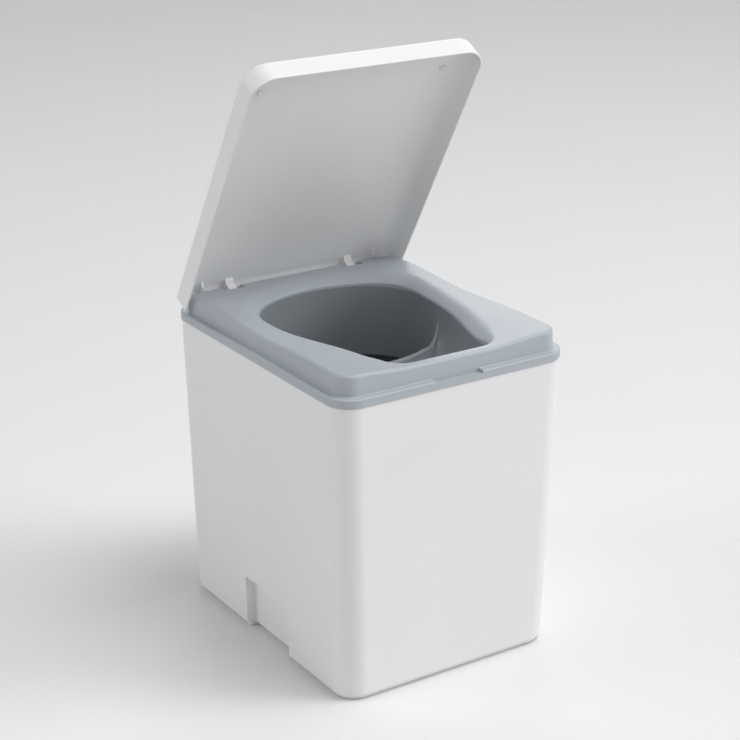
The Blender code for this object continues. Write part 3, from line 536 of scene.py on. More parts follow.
def carved(mesh, steps):
    """The mesh after a list of ("UNION" or "DIFFERENCE", mesh) steps."""
    item = bpy.data.objects.new("blank", mesh)
    bpy.context.scene.collection.objects.link(item)
    helpers = []
    for operation, tool in steps:
        helper = bpy.data.objects.new("tool", tool)
        bpy.context.scene.collection.objects.link(helper)
        helpers.append(helper)
        modifier = item.modifiers.new("Boolean", "BOOLEAN")
        modifier.operation = operation
        modifier.object = helper
        modifier.solver = "EXACT"
    graph = bpy.context.evaluated_depsgraph_get()
    result = bpy.data.meshes.new_from_object(item.evaluated_get(graph))
    for helper in helpers + [item]:
        spent = helper.data
        bpy.data.objects.remove(helper)
        bpy.data.meshes.remove(spent)
    if not result.polygons:
        raise RuntimeError("a cut or a join left nothing of the piece")
    return result


def softened(mesh, chosen, radius, segments=3):
    """The mesh with the edges that a test chooses rounded off."""
    shape = bmesh.new()
    shape.from_mesh(mesh)
    edges = [edge for edge in shape.edges if len(edge.link_faces) == 2 and chosen(edge)]
    bmesh.ops.bevel(shape, geom=edges, offset=radius, segments=segments, profile=0.5, affect="EDGES",
                    clamp_overlap=True)
    bpy.data.meshes.remove(mesh)
    return as_mesh(shape)


def placed(node):
    """The corners of a node's box, and its middle seen from above."""
    low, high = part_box(node)
    return low, high, ((low.x + high.x) / 2, (low.y + high.y) / 2)


class BoxForm:
    """Outlines of the tapered box."""

    def __init__(self, toilet):
        self.size = toilet.box
        self.low = BODY_LOW.z
        self.rim = BODY_HIGH.z
        self.height = self.rim - self.low
        self.foot_width = BASE_HIGH.x - BASE_LOW.x + 2 * self.size.base_inset
        self.foot_depth = BASE_HIGH.y - BASE_LOW.y + 2 * self.size.base_inset

    def half_width(self, z):
        return between(self.foot_width, self.size.top_width, (z - self.low) / self.height) / 2

    def half_depth(self, z):
        return between(self.foot_depth, self.size.top_depth, (z - self.low) / self.height) / 2

    def outline(self, z, inset, steps=SHELL):
        radius = self.size.corner_radius - inset
        depth = self.half_depth(z) - inset
        return rounded(self.half_width(z) - inset, -depth, depth, radius, radius, steps)

    def ring(self, z, inset):
        return level(self.outline(z, inset), z)

    def grip_outline(self, margin):
        """Outline of a hand grip in Y and Z, grown by a margin; it is open at the bottom."""
        size = self.size
        front = size.grip_centre - size.grip_width / 2 - margin
        rear = size.grip_centre + size.grip_width / 2 + margin
        top = self.low + size.grip_height + margin
        bottom = self.low + size.wall - OVERLAP if margin else self.low - REACH
        front_radius = size.grip_front_radius + margin
        rear_radius = size.grip_rear_radius + margin
        points = [(front, bottom), (rear, bottom)]
        points += arc((rear - rear_radius, top - rear_radius), rear_radius, 0, 90, 6)
        points.append((rear - rear_radius, top))
        points += arc((front + front_radius, top - front_radius), front_radius, 90, 180, 12)
        return points + [(front, top - front_radius)]

    def grip_plugs(self, wall, past_skin, deeper=0):
        """Both hand grips' forms, grown by a wall, from behind their backs to the box's leaning skin."""
        outline = self.grip_outline(wall)
        back_x = self.foot_width / 2 - self.size.grip_depth - wall - deeper
        plugs = []
        for side in SIDES:
            inner = [(side * back_x, y, z) for y, z in outline]
            outer = [(side * (self.half_width(z) + past_skin), y, z) for y, z in outline]
            plugs.append(loft([inner, outer] if side > 0 else [outer, inner]))
        return gathered(plugs)

    def on_skin(self, point):
        return abs(abs(point.x) - self.half_width(point.z)) < ON_SKIN

    def at_grip_mouth(self, edge):
        """Whether an edge runs round the mouth of a hand grip."""
        if not all(self.on_skin(corner.co) for corner in edge.verts):
            return False
        middle = (edge.verts[0].co + edge.verts[1].co) / 2
        near = abs(middle.y - self.size.grip_centre) < self.size.grip_width / 2 + OVERLAP
        above = middle.z > self.low + self.size.edge_radius
        return near and above and edge.calc_face_angle(0) > CREASE


class SeatForm:
    """Curves of the seat: flange, ledge, saddle and throat."""

    def __init__(self, toilet):
        self.size = toilet.seat
        self.hole = toilet.throat
        self.corner = toilet.box.corner_radius + SEAT_HIGH.x - toilet.box.top_width / 2
        self.half_width = SEAT_HIGH.x
        self.half_depth = SEAT_HIGH.y
        self.flange = BODY_HIGH.z + TOUCH
        self.ledge = self.flange + self.size.flange_height
        self.deck = self.ledge + self.size.height
        self.lip = self.deck - self.hole.lip_depth
        self.saddle_half = self.half_width - self.size.ledge
        self.front = self.size.ledge - self.half_depth
        self.back = self.half_depth - self.size.back_ledge
        self.throat_front = self.front + self.hole.front_rim
        self.throat_back = self.back - self.hole.back_deck
        self.throat_half = self.saddle_half - self.hole.side_rim
        self.widest = self.throat_back - self.hole.back_length
        self.opening = self.throat()

    def throat(self):
        """The egg-shaped opening: straight in front, tapering sides and an elliptical back."""
        ends, corners, sides = FINE
        hole = self.hole
        front = self.throat_front
        front_x = hole.front_width / 2
        turn = [(front_x - hole.corner, front), (front_x, front), (front_x, front + hole.corner)]
        turn = [Vector(point) for point in turn]
        half_length = (self.widest - turn[2].y) / 2
        side = [
            turn[2],
            turn[2] + Vector((hole.lean, hole.lean_length)),
            Vector((self.throat_half, self.widest - half_length)),
            Vector((self.throat_half, self.widest)),
        ]
        half = [(between(0, turn[0].x, i / ends), front) for i in range(ends)]
        half += [bezier(turn, i / corners) for i in range(corners)]
        half += [bezier(side, i / sides) for i in range(sides)]
        for angle in quarter(corners + ends):
            rise = (self.throat_back - self.widest) * math.sin(angle)
            half.append((self.throat_half * math.cos(angle), self.widest + rise))
        half[-1] = (0.0, self.throat_back)
        return mirrored(half)

    def top(self, x, y):
        """Height of the saddle: flat in the middle, with corners that rise fore and aft of the thighs."""
        size = self.size
        wing = ease(abs(x), size.wing_start, size.wing_full)
        forward = ease(size.saddle_middle - y, 0, size.saddle_reach)
        backward = ease(y - size.saddle_middle, 0, size.saddle_reach) * ease(-y, -HINGE.y, -size.saddle_reach)
        return self.deck + size.wing_rise * wing * max(forward, backward)

    def saddle_outline(self, inset):
        front_radius = self.corner - self.size.ledge - inset
        back_radius = self.size.back_radius - inset
        half = self.saddle_half - inset
        return rounded(half, self.front + inset, self.back - inset, front_radius, back_radius, FINE)

    def flange_outline(self, inset):
        radius = self.corner - inset
        depth = self.half_depth - inset
        return rounded(self.half_width - inset, -depth, depth, radius, radius, FINE)

    def edge_ring(self, angle, depth):
        """One ring of the saddle's rounded edge, from upright at 0 to level at a right angle."""
        size = self.size
        foot = self.saddle_outline(depth)
        rears = [ease(y, size.saddle_reach, HINGE.y) for _, y in foot]
        radii = [between(size.edge_radius, size.nose_radius, rear) - depth for rear in rears]
        insets = [-size.draft - (radius - size.draft) * (1 - math.cos(angle)) for radius in radii]
        drops = [depth + radius * (1 - math.sin(angle)) for radius in radii]
        return [(x, y, self.top(x, y) - drop) for (x, y), drop in zip(grown(foot, insets), drops)]

    def along_roll(self, y, front, side, back):
        """A size of the rolled edge, which changes from the front over the sides to the back."""
        forward = ease(y, self.throat_front, self.throat_front + 2 * self.hole.corner)
        backward = ease(y, self.widest, self.throat_back)
        return between(between(front, side, forward), back, backward)

    def roll_ring(self, part, depth):
        """One ring of the rolled edge, which steepens from its crest at 0 to the throat at 1."""
        hole = self.hole
        most = hole.lip_depth - depth - OVERLAP
        widths = []
        falls = []
        for _, y in self.opening:
            width = self.along_roll(y, hole.roll_front, hole.roll_side, hole.roll_back)
            drop = self.along_roll(y, hole.drop_front, hole.drop_side, hole.drop_back)
            widths.append(depth + (width - depth) * (1 - part))
            falls.append(min(drop, most) * part ** 2)
        spots = zip(grown(self.opening, widths), falls)
        return [(x, y, self.top(x, y) - depth - fall) for (x, y), fall in spots]

    def rolled_lip(self, steps=4):
        """Rings that round the rolled edge over into the throat."""
        radius = self.hole.edge_radius
        start = [Vector(spot) for spot in self.roll_ring(1 - radius / self.hole.roll_side, 0)]
        corner = [Vector(spot) for spot in self.roll_ring(1, 0)]
        end = [spot - Vector((0, 0, radius)) for spot in corner]
        turns = list(zip(start, corner, end))
        return [[bezier(points, i / steps) for points in turns] for i in range(steps + 1)]

    def deck_rings(self, edge, crest, shares, depth):
        """Rings across the saddle between its rounded edge and the rolled edge."""
        rings = []
        for part in shares:
            ring = []
            for (ax, ay, _), (bx, by, _) in zip(edge, crest):
                x, y = between(ax, bx, part), between(ay, by, part)
                ring.append((x, y, self.top(x, y) - depth))
            rings.append(ring)
        return rings

    def outside(self):
        """Rings from the flange's foot over the saddle to the throat's lip."""
        size = self.size
        rings = []
        for step, rise in fillet(FLANGE_FOOT, 3):
            rings.append(level(self.flange_outline(step), self.flange + rise))
        for drop, step in fillet(size.flange_edge, 6):
            rings.append(level(self.flange_outline(step), self.ledge - drop))
        for reach, rise in fillet(size.foot_fillet, 5):
            rings.append(level(self.saddle_outline(-reach), self.ledge + rise))
        rings += [self.edge_ring(angle, 0) for angle in quarter(9)]
        crest = self.roll_ring(0, 0)
        rings += self.deck_rings(rings[-1], crest, (0.1, 0.25, 0.4, 0.55, 0.7, 0.85), 0)
        rings += [self.roll_ring(part / 12, 0) for part in range(11)]
        rings += self.rolled_lip()
        rings.append(level(self.opening, self.lip))
        return rings

    def underside(self):
        """The same form sunk by the wall, from the flange's foot to the throat's lip."""
        depth = self.size.wall
        rings = [level(self.flange_outline(depth), z) for z in (self.flange, self.ledge - depth)]
        rings.append(level(self.saddle_outline(depth), self.ledge - depth))
        rings += [self.edge_ring(angle, depth) for angle in quarter(4)]
        crest = self.roll_ring(0, depth)
        rings += self.deck_rings(rings[-1], crest, (0.3, 0.65), depth)
        rings += [self.roll_ring(part / 5, depth) for part in range(6)]
        rings.append(level(grown(self.opening, depth), self.lip))
        return rings


class BowlForm:
    """Curves of the separating bowl under the throat."""

    CROWDING = 1.5  # power that crowds the crest's sections towards its ends
    ENDING = 6  # power that keeps the crest's rise and thinning near its ends
    THINNING = 0.9  # share of the crest's radius that is gone at its ends
    WALL_FALL = 4  # power of the funnel's fall from the walls
    CREST_FALL = 1.3  # the same from the crest, where it is gentler
    RING_CROWDING = 1.3  # power that crowds the funnel's rings towards its edge
    BLEND_RISE = 0.2  # share of the crest's depth by which the blend's middle lies over the crest
    CHUTE_STEP = 0.0005  # how far the chute's skin lies inside the upper wall's
    RIM_MARGIN = 0.002  # band under the rim that stays as it is when the crest is blended

    def __init__(self, toilet, seat):
        self.size = toilet.bowl
        size = self.size
        self.seat = seat
        self.opening = seat.opening
        self.rim = seat.lip
        self.crest = self.rim - size.crest_depth
        self.chute = self.rim - size.chute_depth
        self.drain = self.crest - size.funnel_depth
        self.spout = self.drain - size.spout_length
        self.drain_y = seat.throat_front + size.drain_setback
        self.crest_y = seat.throat_front + size.crest_setback
        self.bend = (seat.throat_half ** 2 + size.crest_bow ** 2) / (2 * size.crest_bow)
        self.half = len(self.opening) // 2
        self.split, self.meeting = self.crest_meeting()

    def divider(self, x):
        """Y of the curved crest between the funnel and the chute."""
        return self.crest_y + self.bend - math.sqrt(self.bend ** 2 - x * x)

    def crest_meeting(self):
        """Where the crest's line meets the right side of the opening: the point before it, and the place."""
        gaps = [y - self.divider(x) for x, y in self.opening[: self.half + 1]]
        before = max(i for i, gap in enumerate(gaps) if gap < 0)
        part = gaps[before] / (gaps[before] - gaps[before + 1])
        return before, Vector(self.opening[before]).lerp(Vector(self.opening[before + 1]), part)

    def ring(self, z, inset):
        return grown(self.opening, -self.size.taper * (self.rim - z) - inset)

    def crest_sections(self, steps=48, folds=8):
        """Arched sections of the crest from right to left, each from its front edge to its rear edge."""
        sections = []
        leaning = self.size.taper * self.size.crest_depth
        for i in range(steps + 1):
            u = between(1, -1, i / steps)
            out = abs(u)
            x = math.copysign((1 - (1 - out) ** self.CROWDING) * (self.meeting.x - leaning), u)
            z = self.crest + self.size.crest_rise * out ** self.ENDING
            radius = self.size.crest_radius * (1 - self.THINNING * out ** self.ENDING)
            slope = x / math.sqrt(self.bend ** 2 - x * x)
            back = Vector((-slope, 1)).normalized()
            middle = Vector((x, self.divider(x)))
            section = []
            for k in range(folds + 1):
                angle = math.pi * k / folds
                spot = middle - back * radius * math.cos(angle)
                section.append((spot.x, spot.y, z - radius + radius * math.sin(angle)))
            sections.append(section)
        return sections

    def funnel_rings(self, edge, foot, radius, crest_fall=WALL_FALL, steps=20):
        """Rings that sweep from a closed edge down to the round drain, more gently from the crest."""
        drain = Vector((0, self.drain_y))
        rings = []
        for i in range(steps + 1):
            part = (i / steps) ** self.RING_CROWDING
            ring = []
            for x, y, z in edge:
                spoke = Vector((x, y)) - drain
                spot = drain + spoke.lerp(spoke.normalized() * radius, part)
                fall = between(crest_fall, self.WALL_FALL, ease(z, self.crest, self.rim))
                ring.append((spot.x, spot.y, between(foot, z, (1 - part) ** fall)))
            rings.append(ring)
        return rings

    def chute_rings(self, edge, foot, steps=8):
        """Rings that close in slightly from a closed edge down to the chute's open foot."""
        middle = sum((Vector((x, y)) for x, y, _ in edge), Vector((0, 0))) / len(edge)
        narrowing = self.size.taper * self.size.chute_depth / self.seat.throat_half
        rings = []
        for i in range(steps + 1):
            part = i / steps
            ring = []
            for x, y, z in edge:
                spot = Vector((x, y)).lerp(middle, narrowing * part)
                ring.append((spot.x, spot.y, between(z, foot, part)))
            rings.append(ring)
        return rings

    def halves(self, outline, edge_z, front_line, rear_line):
        """The closed edges of the funnel and of the chute: an outline at one height, split by two lines."""
        k = self.split
        right_front = level(outline[: k + 1], edge_z)
        left_front = level(outline[len(outline) - k:], edge_z)
        right_rear = level(outline[k + 1: self.half + 1], edge_z)
        left_rear = level(outline[self.half + 1: len(outline) - k], edge_z)
        return right_front + front_line + left_front, right_rear + left_rear + rear_line[::-1]

    def dipped_wall(self, foot):
        """Where the side walls end and the funnel's sweep begins: it dips softly towards the crest's ends."""
        heights = [self.rim] * len(self.opening)
        far = 0
        last = self.meeting
        for i in range(self.split, 0, -1):
            far += (Vector(self.opening[i]) - last).length
            last = Vector(self.opening[i])
            heights[i] = heights[-i] = between(foot, self.rim, ease(far, 0, self.size.wall_dip))
        shrink = [-self.size.taper * (self.rim - z) for z in heights]
        return [(x, y, z) for (x, y), z in zip(grown(self.opening, shrink), heights)]

    def hollow(self):
        """The closed space inside the bowl, which is cut out of it."""
        sections = self.crest_sections()
        front_line = [section[0] for section in sections]
        rear_line = [section[-1] for section in sections]
        funnel_edge, chute_edge = self.halves(self.opening, self.rim, front_line, rear_line)
        dipped = self.dipped_wall(front_line[0][2])
        ahead = self.split + 1
        last = len(self.opening) - self.split
        swept_edge = dipped[:ahead] + front_line + dipped[last:]
        bore = self.size.spout_diameter / 2 - self.size.wall
        shape = bmesh.new()
        rings = [funnel_edge] + self.funnel_rings(swept_edge, self.drain, bore, self.CREST_FALL)
        rings.append([(x, y, self.spout - REACH) for x, y, _ in rings[-1]])
        shape.faces.new(skin(shape, rings)[1])
        rings = self.chute_rings(chute_edge, self.chute)
        rings.append([(x, y, self.chute - REACH) for x, y, _ in rings[-1]])
        shape.faces.new(skin(shape, rings)[1])
        for right, left in zip(sections, sections[1:]):
            for k in range(len(right) - 1):
                corners = (right[k], right[k + 1], left[k + 1], left[k])
                shape.faces.new([shape.verts.new(corner) for corner in corners])
        right_end = (self.meeting.x, self.meeting.y)
        left_end = (-self.meeting.x, self.meeting.y)
        for end, section, front, rear in (
            (right_end, sections[0], self.opening[ahead - 1], self.opening[ahead]),
            (left_end, sections[-1], self.opening[last], self.opening[last - 1]),
        ):
            foot = [(*front, self.rim)] + section + [(*rear, self.rim)]
            for corner, following in zip(foot, foot[1:]):
                shape.faces.new([shape.verts.new(place) for place in ((*end, self.rim), corner, following)])
        top = self.opening[:ahead] + [right_end] + self.opening[ahead:last] + [left_end] + self.opening[last:]
        shape.faces.new(skin(shape, [level(top, self.rim), level(top, self.rim + REACH)])[1])
        bmesh.ops.remove_doubles(shape, verts=shape.verts, dist=SAME_PLACE)
        bmesh.ops.dissolve_degenerate(shape, edges=shape.edges, dist=SAME_PLACE)
        bmesh.ops.recalc_face_normals(shape, faces=shape.faces)
        self.blend_crest(shape)
        return as_mesh(shape)

    def blend_crest(self, shape, rounds=60, widest=0.050, narrowest=0.022, spacing=0.005):
        """Lets the ends of the crest run softly into the side walls."""
        low = self.crest + self.BLEND_RISE * self.size.crest_depth
        feet = [Vector((side * self.meeting.x, self.meeting.y, low)) for side in SIDES]

        def reach(vert):
            return min((vert.co - foot).length for foot in feet)

        long_edges = []
        for edge in shape.edges:
            if edge.calc_length() > spacing and max(map(reach, edge.verts)) < widest:
                long_edges.append(edge)
        bmesh.ops.subdivide_edges(shape, edges=long_edges, cuts=3, use_grid_fill=True)
        bmesh.ops.triangulate(shape, faces=[face for face in shape.faces if 4 < len(face.verts) < 20])
        high = self.rim - self.RIM_MARGIN
        loose = {vert: reach(vert) for vert in shape.verts if self.drain < vert.co.z < high}
        for i in range(rounds):
            radius = between(widest, narrowest, i / rounds)
            near = [vert for vert, far in loose.items() if far < radius]
            bmesh.ops.smooth_vert(shape, verts=near, factor=0.5,
                                  use_axis_x=True, use_axis_y=True, use_axis_z=True)

    def outer(self):
        """The solid block that the hollow is cut from: rim, upper wall, chute, funnel and spout."""
        size = self.size
        heights = (self.crest - size.wall, self.rim - OVERLAP)
        walls = loft([level(self.ring(z, -size.wall), z) for z in heights])
        corner_end = self.seat.throat_front + 2 * self.seat.hole.corner
        fronts = [ease(y, self.seat.throat_front, corner_end) for _, y in self.opening]
        widths = [between(size.front_flange, size.flange, part) for part in fronts]
        flange = loft([level(grown(self.opening, widths), z) for z in (self.rim - size.wall, self.rim)])

        def line(shift, z):
            xs = [between(1, -1, i / 24) * (self.meeting.x + size.wall) for i in range(25)]
            return [(x, self.divider(x) + shift, z) for x in xs]

        past = size.crest_radius + size.wall / 2
        low = self.crest - OVERLAP
        funnel_edge, _ = self.halves(self.ring(low, -size.wall), low, line(past, low), line(past, low))
        high = self.rim - 2 * OVERLAP
        wide = grown(self.opening, size.wall - self.CHUTE_STEP)
        _, chute_edge = self.halves(wide, high, line(-past, high), line(-past, high))
        spout = size.spout_diameter / 2
        funnel = loft(self.funnel_rings(funnel_edge, self.drain - size.wall, spout - OVERLAP)[::-1])
        chute = loft(self.chute_rings(chute_edge, self.chute)[::-1])
        profile = [(spout - SPOUT_EDGE, self.spout), (spout, self.spout + SPOUT_EDGE), (spout, self.drain)]
        pipe = turned(profile, (0, self.drain_y))
        return walls, [flange, chute, funnel, pipe]


class LidForm:
    """Curves of the lid in its closed place."""

    def __init__(self, toilet, seat):
        self.size = toilet.lid
        self.seat = seat
        self.rim = seat.ledge + self.size.gap
        self.top = self.rim + self.size.height
        self.ceiling = self.top - self.size.wall

    def outline(self, inset):
        size, seat = self.size, self.seat
        half = seat.half_width - size.inset - inset
        front = size.inset - seat.half_depth + inset
        front_radius = seat.corner - size.inset - inset
        back_radius = size.back_radius - min(inset, size.back_radius / 2)
        back = HINGE.y + size.overhang - inset
        return rounded(half, front, back, front_radius, back_radius, SHELL)

    def ring(self, inset, z):
        return [tuple(Vector((x, y, z)) - HINGE) for x, y in self.outline(inset)]

    def rings(self):
        """Rings from the ceiling down the inside, round the rim and up the outside to the top."""
        size = self.size
        rings = []
        for drop, step in reversed(fillet(size.inner_radius, 10)):
            rings.append(self.ring(size.wall + step, self.ceiling - drop))
        bead = size.wall / 2
        for i in range(9):
            angle = math.pi * i / 8
            rings.append(self.ring(bead + bead * math.cos(angle), self.rim + bead - bead * math.sin(angle)))
        for drop, step in fillet(size.edge_radius, 10):
            rings.append(self.ring(step, self.top - drop))
        return rings

    def swung(self):
        """The move from a place about the hinge, lid closed, to the lid's open place at rest."""
        return Matrix.Translation(HINGE) @ Matrix.Rotation(-REST_ANGLE, 4, "X")


# Finishes


def node_group(name, inputs, outputs):
    """A shader group with its sockets: its nodes, and its input and output ends."""
    tree = bpy.data.node_groups.new(name, "ShaderNodeTree")
    for label, kind, default in inputs:
        socket = tree.interface.new_socket(label, in_out="INPUT", socket_type=kind)
        socket.default_value = default
    for label, kind in outputs:
        tree.interface.new_socket(label, in_out="OUTPUT", socket_type=kind)
    return tree, tree.nodes.new("NodeGroupInput"), tree.nodes.new("NodeGroupOutput")


def feed(tree, node, inputs):
    """Sets a node's inputs to values, or links them from other nodes' outputs."""
    for key, value in inputs.items():
        if isinstance(value, bpy.types.NodeSocket):
            tree.links.new(value, node.inputs[key])
        else:
            node.inputs[key].default_value = value


def add_node(tree, kind, inputs=(), **settings):
    node = tree.nodes.new(kind)
    for key, value in settings.items():
        setattr(node, key, value)
    feed(tree, node, dict(inputs))
    return node


def noise(tree, place, scale, detail, roughness=0.5):
    """A noise texture, its scale in points per metre."""
    inputs = {"Vector": place, "Scale": scale, "Detail": detail, "Roughness": roughness}
    return add_node(tree, "ShaderNodeTexNoise", inputs).outputs["Fac"]


def spread(tree, value, low, high, new_low, new_high):
    """A value's range mapped to another and held inside it."""
    inputs = {"Value": value, "From Min": low, "From Max": high, "To Min": new_low, "To Max": new_high}
    return add_node(tree, "ShaderNodeMapRange", inputs, clamp=True).outputs["Result"]


def arithmetic(tree, operation, a, b):
    return add_node(tree, "ShaderNodeMath", {0: a, 1: b}, operation=operation).outputs["Value"]


def mixed(tree, factor, a, b):
    inputs = {"Factor": factor, "A": a, "B": b}
    return add_node(tree, "ShaderNodeMix", inputs, data_type="RGBA").outputs["Result"]


def seen_directly(tree):
    """1 where the camera sees a backdrop, in a gloss or through plastic too, and 0 for its bounced light."""
    path = add_node(tree, "ShaderNodeLightPath")
    in_gloss = arithmetic(tree, "MAXIMUM", path.outputs["Is Camera Ray"], path.outputs["Is Glossy Ray"])
    return arithmetic(tree, "MAXIMUM", in_gloss, path.outputs["Is Transmission Ray"])


def moulded_grain():
    """The fine grain of a moulded surface: its height, and how its gloss wanders."""
    found = bpy.data.node_groups.get("Moulded Grain")
    if found:
        return found
    inputs = [
        ("Grain Scale", "NodeSocketFloat", 900.0),
        ("Gloss", "NodeSocketFloat", 0.4),
        ("Gloss Drift", "NodeSocketFloat", 0.05),
    ]
    outputs = [("Height", "NodeSocketFloat"), ("Roughness", "NodeSocketFloat")]
    tree, start, end = node_group("Moulded Grain", inputs, outputs)
    place = add_node(tree, "ShaderNodeTexCoord").outputs["Object"]
    pits = noise(tree, place, start.outputs["Grain Scale"], 3, 0.6)
    waves = arithmetic(tree, "MULTIPLY", noise(tree, place, 26, 2), 1.6)
    handled = arithmetic(tree, "SUBTRACT", noise(tree, place, 9, 5, 0.62), 0.5)
    drift = arithmetic(tree, "MULTIPLY", handled, start.outputs["Gloss Drift"])
    fine = arithmetic(tree, "MULTIPLY", arithmetic(tree, "SUBTRACT", pits, 0.5), 0.08)
    rough = arithmetic(tree, "ADD", start.outputs["Gloss"], arithmetic(tree, "ADD", drift, fine))
    tree.links.new(arithmetic(tree, "ADD", pits, waves), end.inputs["Height"])
    tree.links.new(rough, end.inputs["Roughness"])
    return tree


def tone_drift():
    """A colour that wanders slightly over the surface and is rubbed paler along raised edges."""
    found = bpy.data.node_groups.get("Tone Drift")
    if found:
        return found
    inputs = [
        ("Colour", "NodeSocketColor", (0.8, 0.8, 0.8, 1)),
        ("Shade", "NodeSocketColor", (0.75, 0.75, 0.75, 1)),
        ("Rubbed", "NodeSocketColor", (0.85, 0.85, 0.85, 1)),
        ("Rub", "NodeSocketFloat", 0.3),
    ]
    tree, start, end = node_group("Tone Drift", inputs, [("Colour", "NodeSocketColor")])
    place = add_node(tree, "ShaderNodeTexCoord").outputs["Object"]
    cloud = spread(tree, noise(tree, place, 6, 4, 0.55), 0.35, 0.75, 0, 1)
    specks = spread(tree, noise(tree, place, 420, 1), 0.62, 0.8, 0, 0.5)
    drifting = arithmetic(tree, "MAXIMUM", cloud, specks)
    base = mixed(tree, drifting, start.outputs["Colour"], start.outputs["Shade"])
    raised = add_node(tree, "ShaderNodeNewGeometry").outputs["Pointiness"]
    edge = spread(tree, raised, 0.53, 0.60, 0, 1)
    worn = arithmetic(tree, "MULTIPLY", edge, spread(tree, noise(tree, place, 60, 4), 0.35, 0.65, 0.2, 1))
    amount = arithmetic(tree, "MULTIPLY", worn, start.outputs["Rub"])
    tree.links.new(mixed(tree, amount, base, start.outputs["Rubbed"]), end.inputs["Colour"])
    return tree


def tinted(base, factor):
    return tuple(min(channel * factor, 1) for channel in base) + (1,)


def plastic(name, base, gloss, grain, bump, drift=0.06, shade=0.95, rub=1.10):
    """A moulded finish with grain, drifting tone and gloss, and slightly rubbed edges."""
    found = bpy.data.materials.get(name)
    if found:
        return found
    material = bpy.data.materials.new(name)
    material.use_nodes = True
    tree = material.node_tree
    tone = add_node(tree, "ShaderNodeGroup", node_tree=tone_drift())
    feed(tree, tone, {
        "Colour": tinted(base, 1),
        "Shade": tinted(base, shade),
        "Rubbed": tinted(base, rub),
        "Rub": RUB_AMOUNT,
    })
    pitted = add_node(tree, "ShaderNodeGroup", node_tree=moulded_grain())
    feed(tree, pitted, {"Grain Scale": grain, "Gloss": gloss, "Gloss Drift": drift})
    relief = {"Strength": bump, "Distance": GRAIN_DEPTH, "Height": pitted.outputs["Height"]}
    feed(tree, tree.nodes["Principled BSDF"], {
        "Base Color": tone.outputs["Colour"],
        "Roughness": pitted.outputs["Roughness"],
        "Normal": add_node(tree, "ShaderNodeBump", relief).outputs["Normal"],
    })
    return material


def finish(slot):
    """The finish of one of the record's material slots."""
    look = bpy.context.scene.camp_toilet.finishes
    if slot == "white_plastic":
        return plastic("Satin White Plastic", look.white, look.white_roughness, 1100, 0.05,
                       shade=0.975, rub=1.06)
    if slot == "grey_plastic":
        return plastic("Fine Grained Grey Plastic", look.grey, look.grey_roughness, 1500, 0.10)
    if slot == "black_rubber":
        return plastic("Soft Black Rubber", look.rubber, 0.78, 700, 0.35, drift=0.2, shade=0.7, rub=2.2)
    if slot == "cloudy_plastic":
        material = plastic("Cloudy Plastic", look.cloudy, 0.46, 300, 0.12, drift=0.2, shade=0.92, rub=1.08)
        own = {
            "Subsurface Weight": 0.35,
            "Subsurface Radius": (0.012, 0.011, 0.010),
            "Subsurface Scale": 0.4,
        }
    else:
        material = plastic("Drawn Steel", look.steel, 0.30, 2400, 0.10, drift=0.2, shade=0.82, rub=1.25)
        own = {"Metallic": 1.0}
    feed(material.node_tree, material.node_tree.nodes["Principled BSDF"], own)
    return material


def show(name, mesh, node, body, slot, material=None):
    """Puts a finished mesh in the scene in place of its CAD node."""
    mesh.name = name
    item = bpy.data.objects.new(name, mesh)
    bpy.context.scene.collection.objects.link(item)
    mesh.materials.clear()
    mesh.materials.append(material or finish(slot))
    mesh.shade_smooth()
    mesh.set_sharp_from_angle(angle=CREASE)
    weighted = item.modifiers.new("Flat Faces First", "WEIGHTED_NORMAL")
    weighted.keep_sharp = True
    weighted.weight = 80
    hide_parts(node)
    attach(item, body)
    return item


# Pieces


class CAMPTOILET_OT_box(bpy.types.Operator):
    """Mould the tapered white box with a hand grip low in each side"""

    bl_idname = "camp_toilet.make_box"
    bl_label = "Box"

    def execute(self, context):
        toilet = context.scene.camp_toilet
        form = BoxForm(toilet)
        size = form.size
        floor = form.low + size.wall
        lip = fillet(size.wall / 3, 3)
        rings = [form.ring(form.low + rise, step) for step, rise in fillet(size.edge_radius, 6)]
        rings += [form.ring(form.rim - drop, step) for drop, step in lip]
        rings += [form.ring(form.rim - drop, size.wall - step) for drop, step in reversed(lip)]
        rings += [form.ring(floor + rise, size.wall + step) for rise, step in fillet(size.floor_fillet, 6)]
        walls = form.grip_plugs(size.wall, -size.wall / 2)
        mesh = carved(loft(rings), [("UNION", walls), ("DIFFERENCE", form.grip_plugs(0, REACH))])
        mesh = softened(mesh, form.at_grip_mouth, size.grip_edge)
        show("body_moulding", mesh, "body_shell", "housing", "white_plastic")
        return {"FINISHED"}


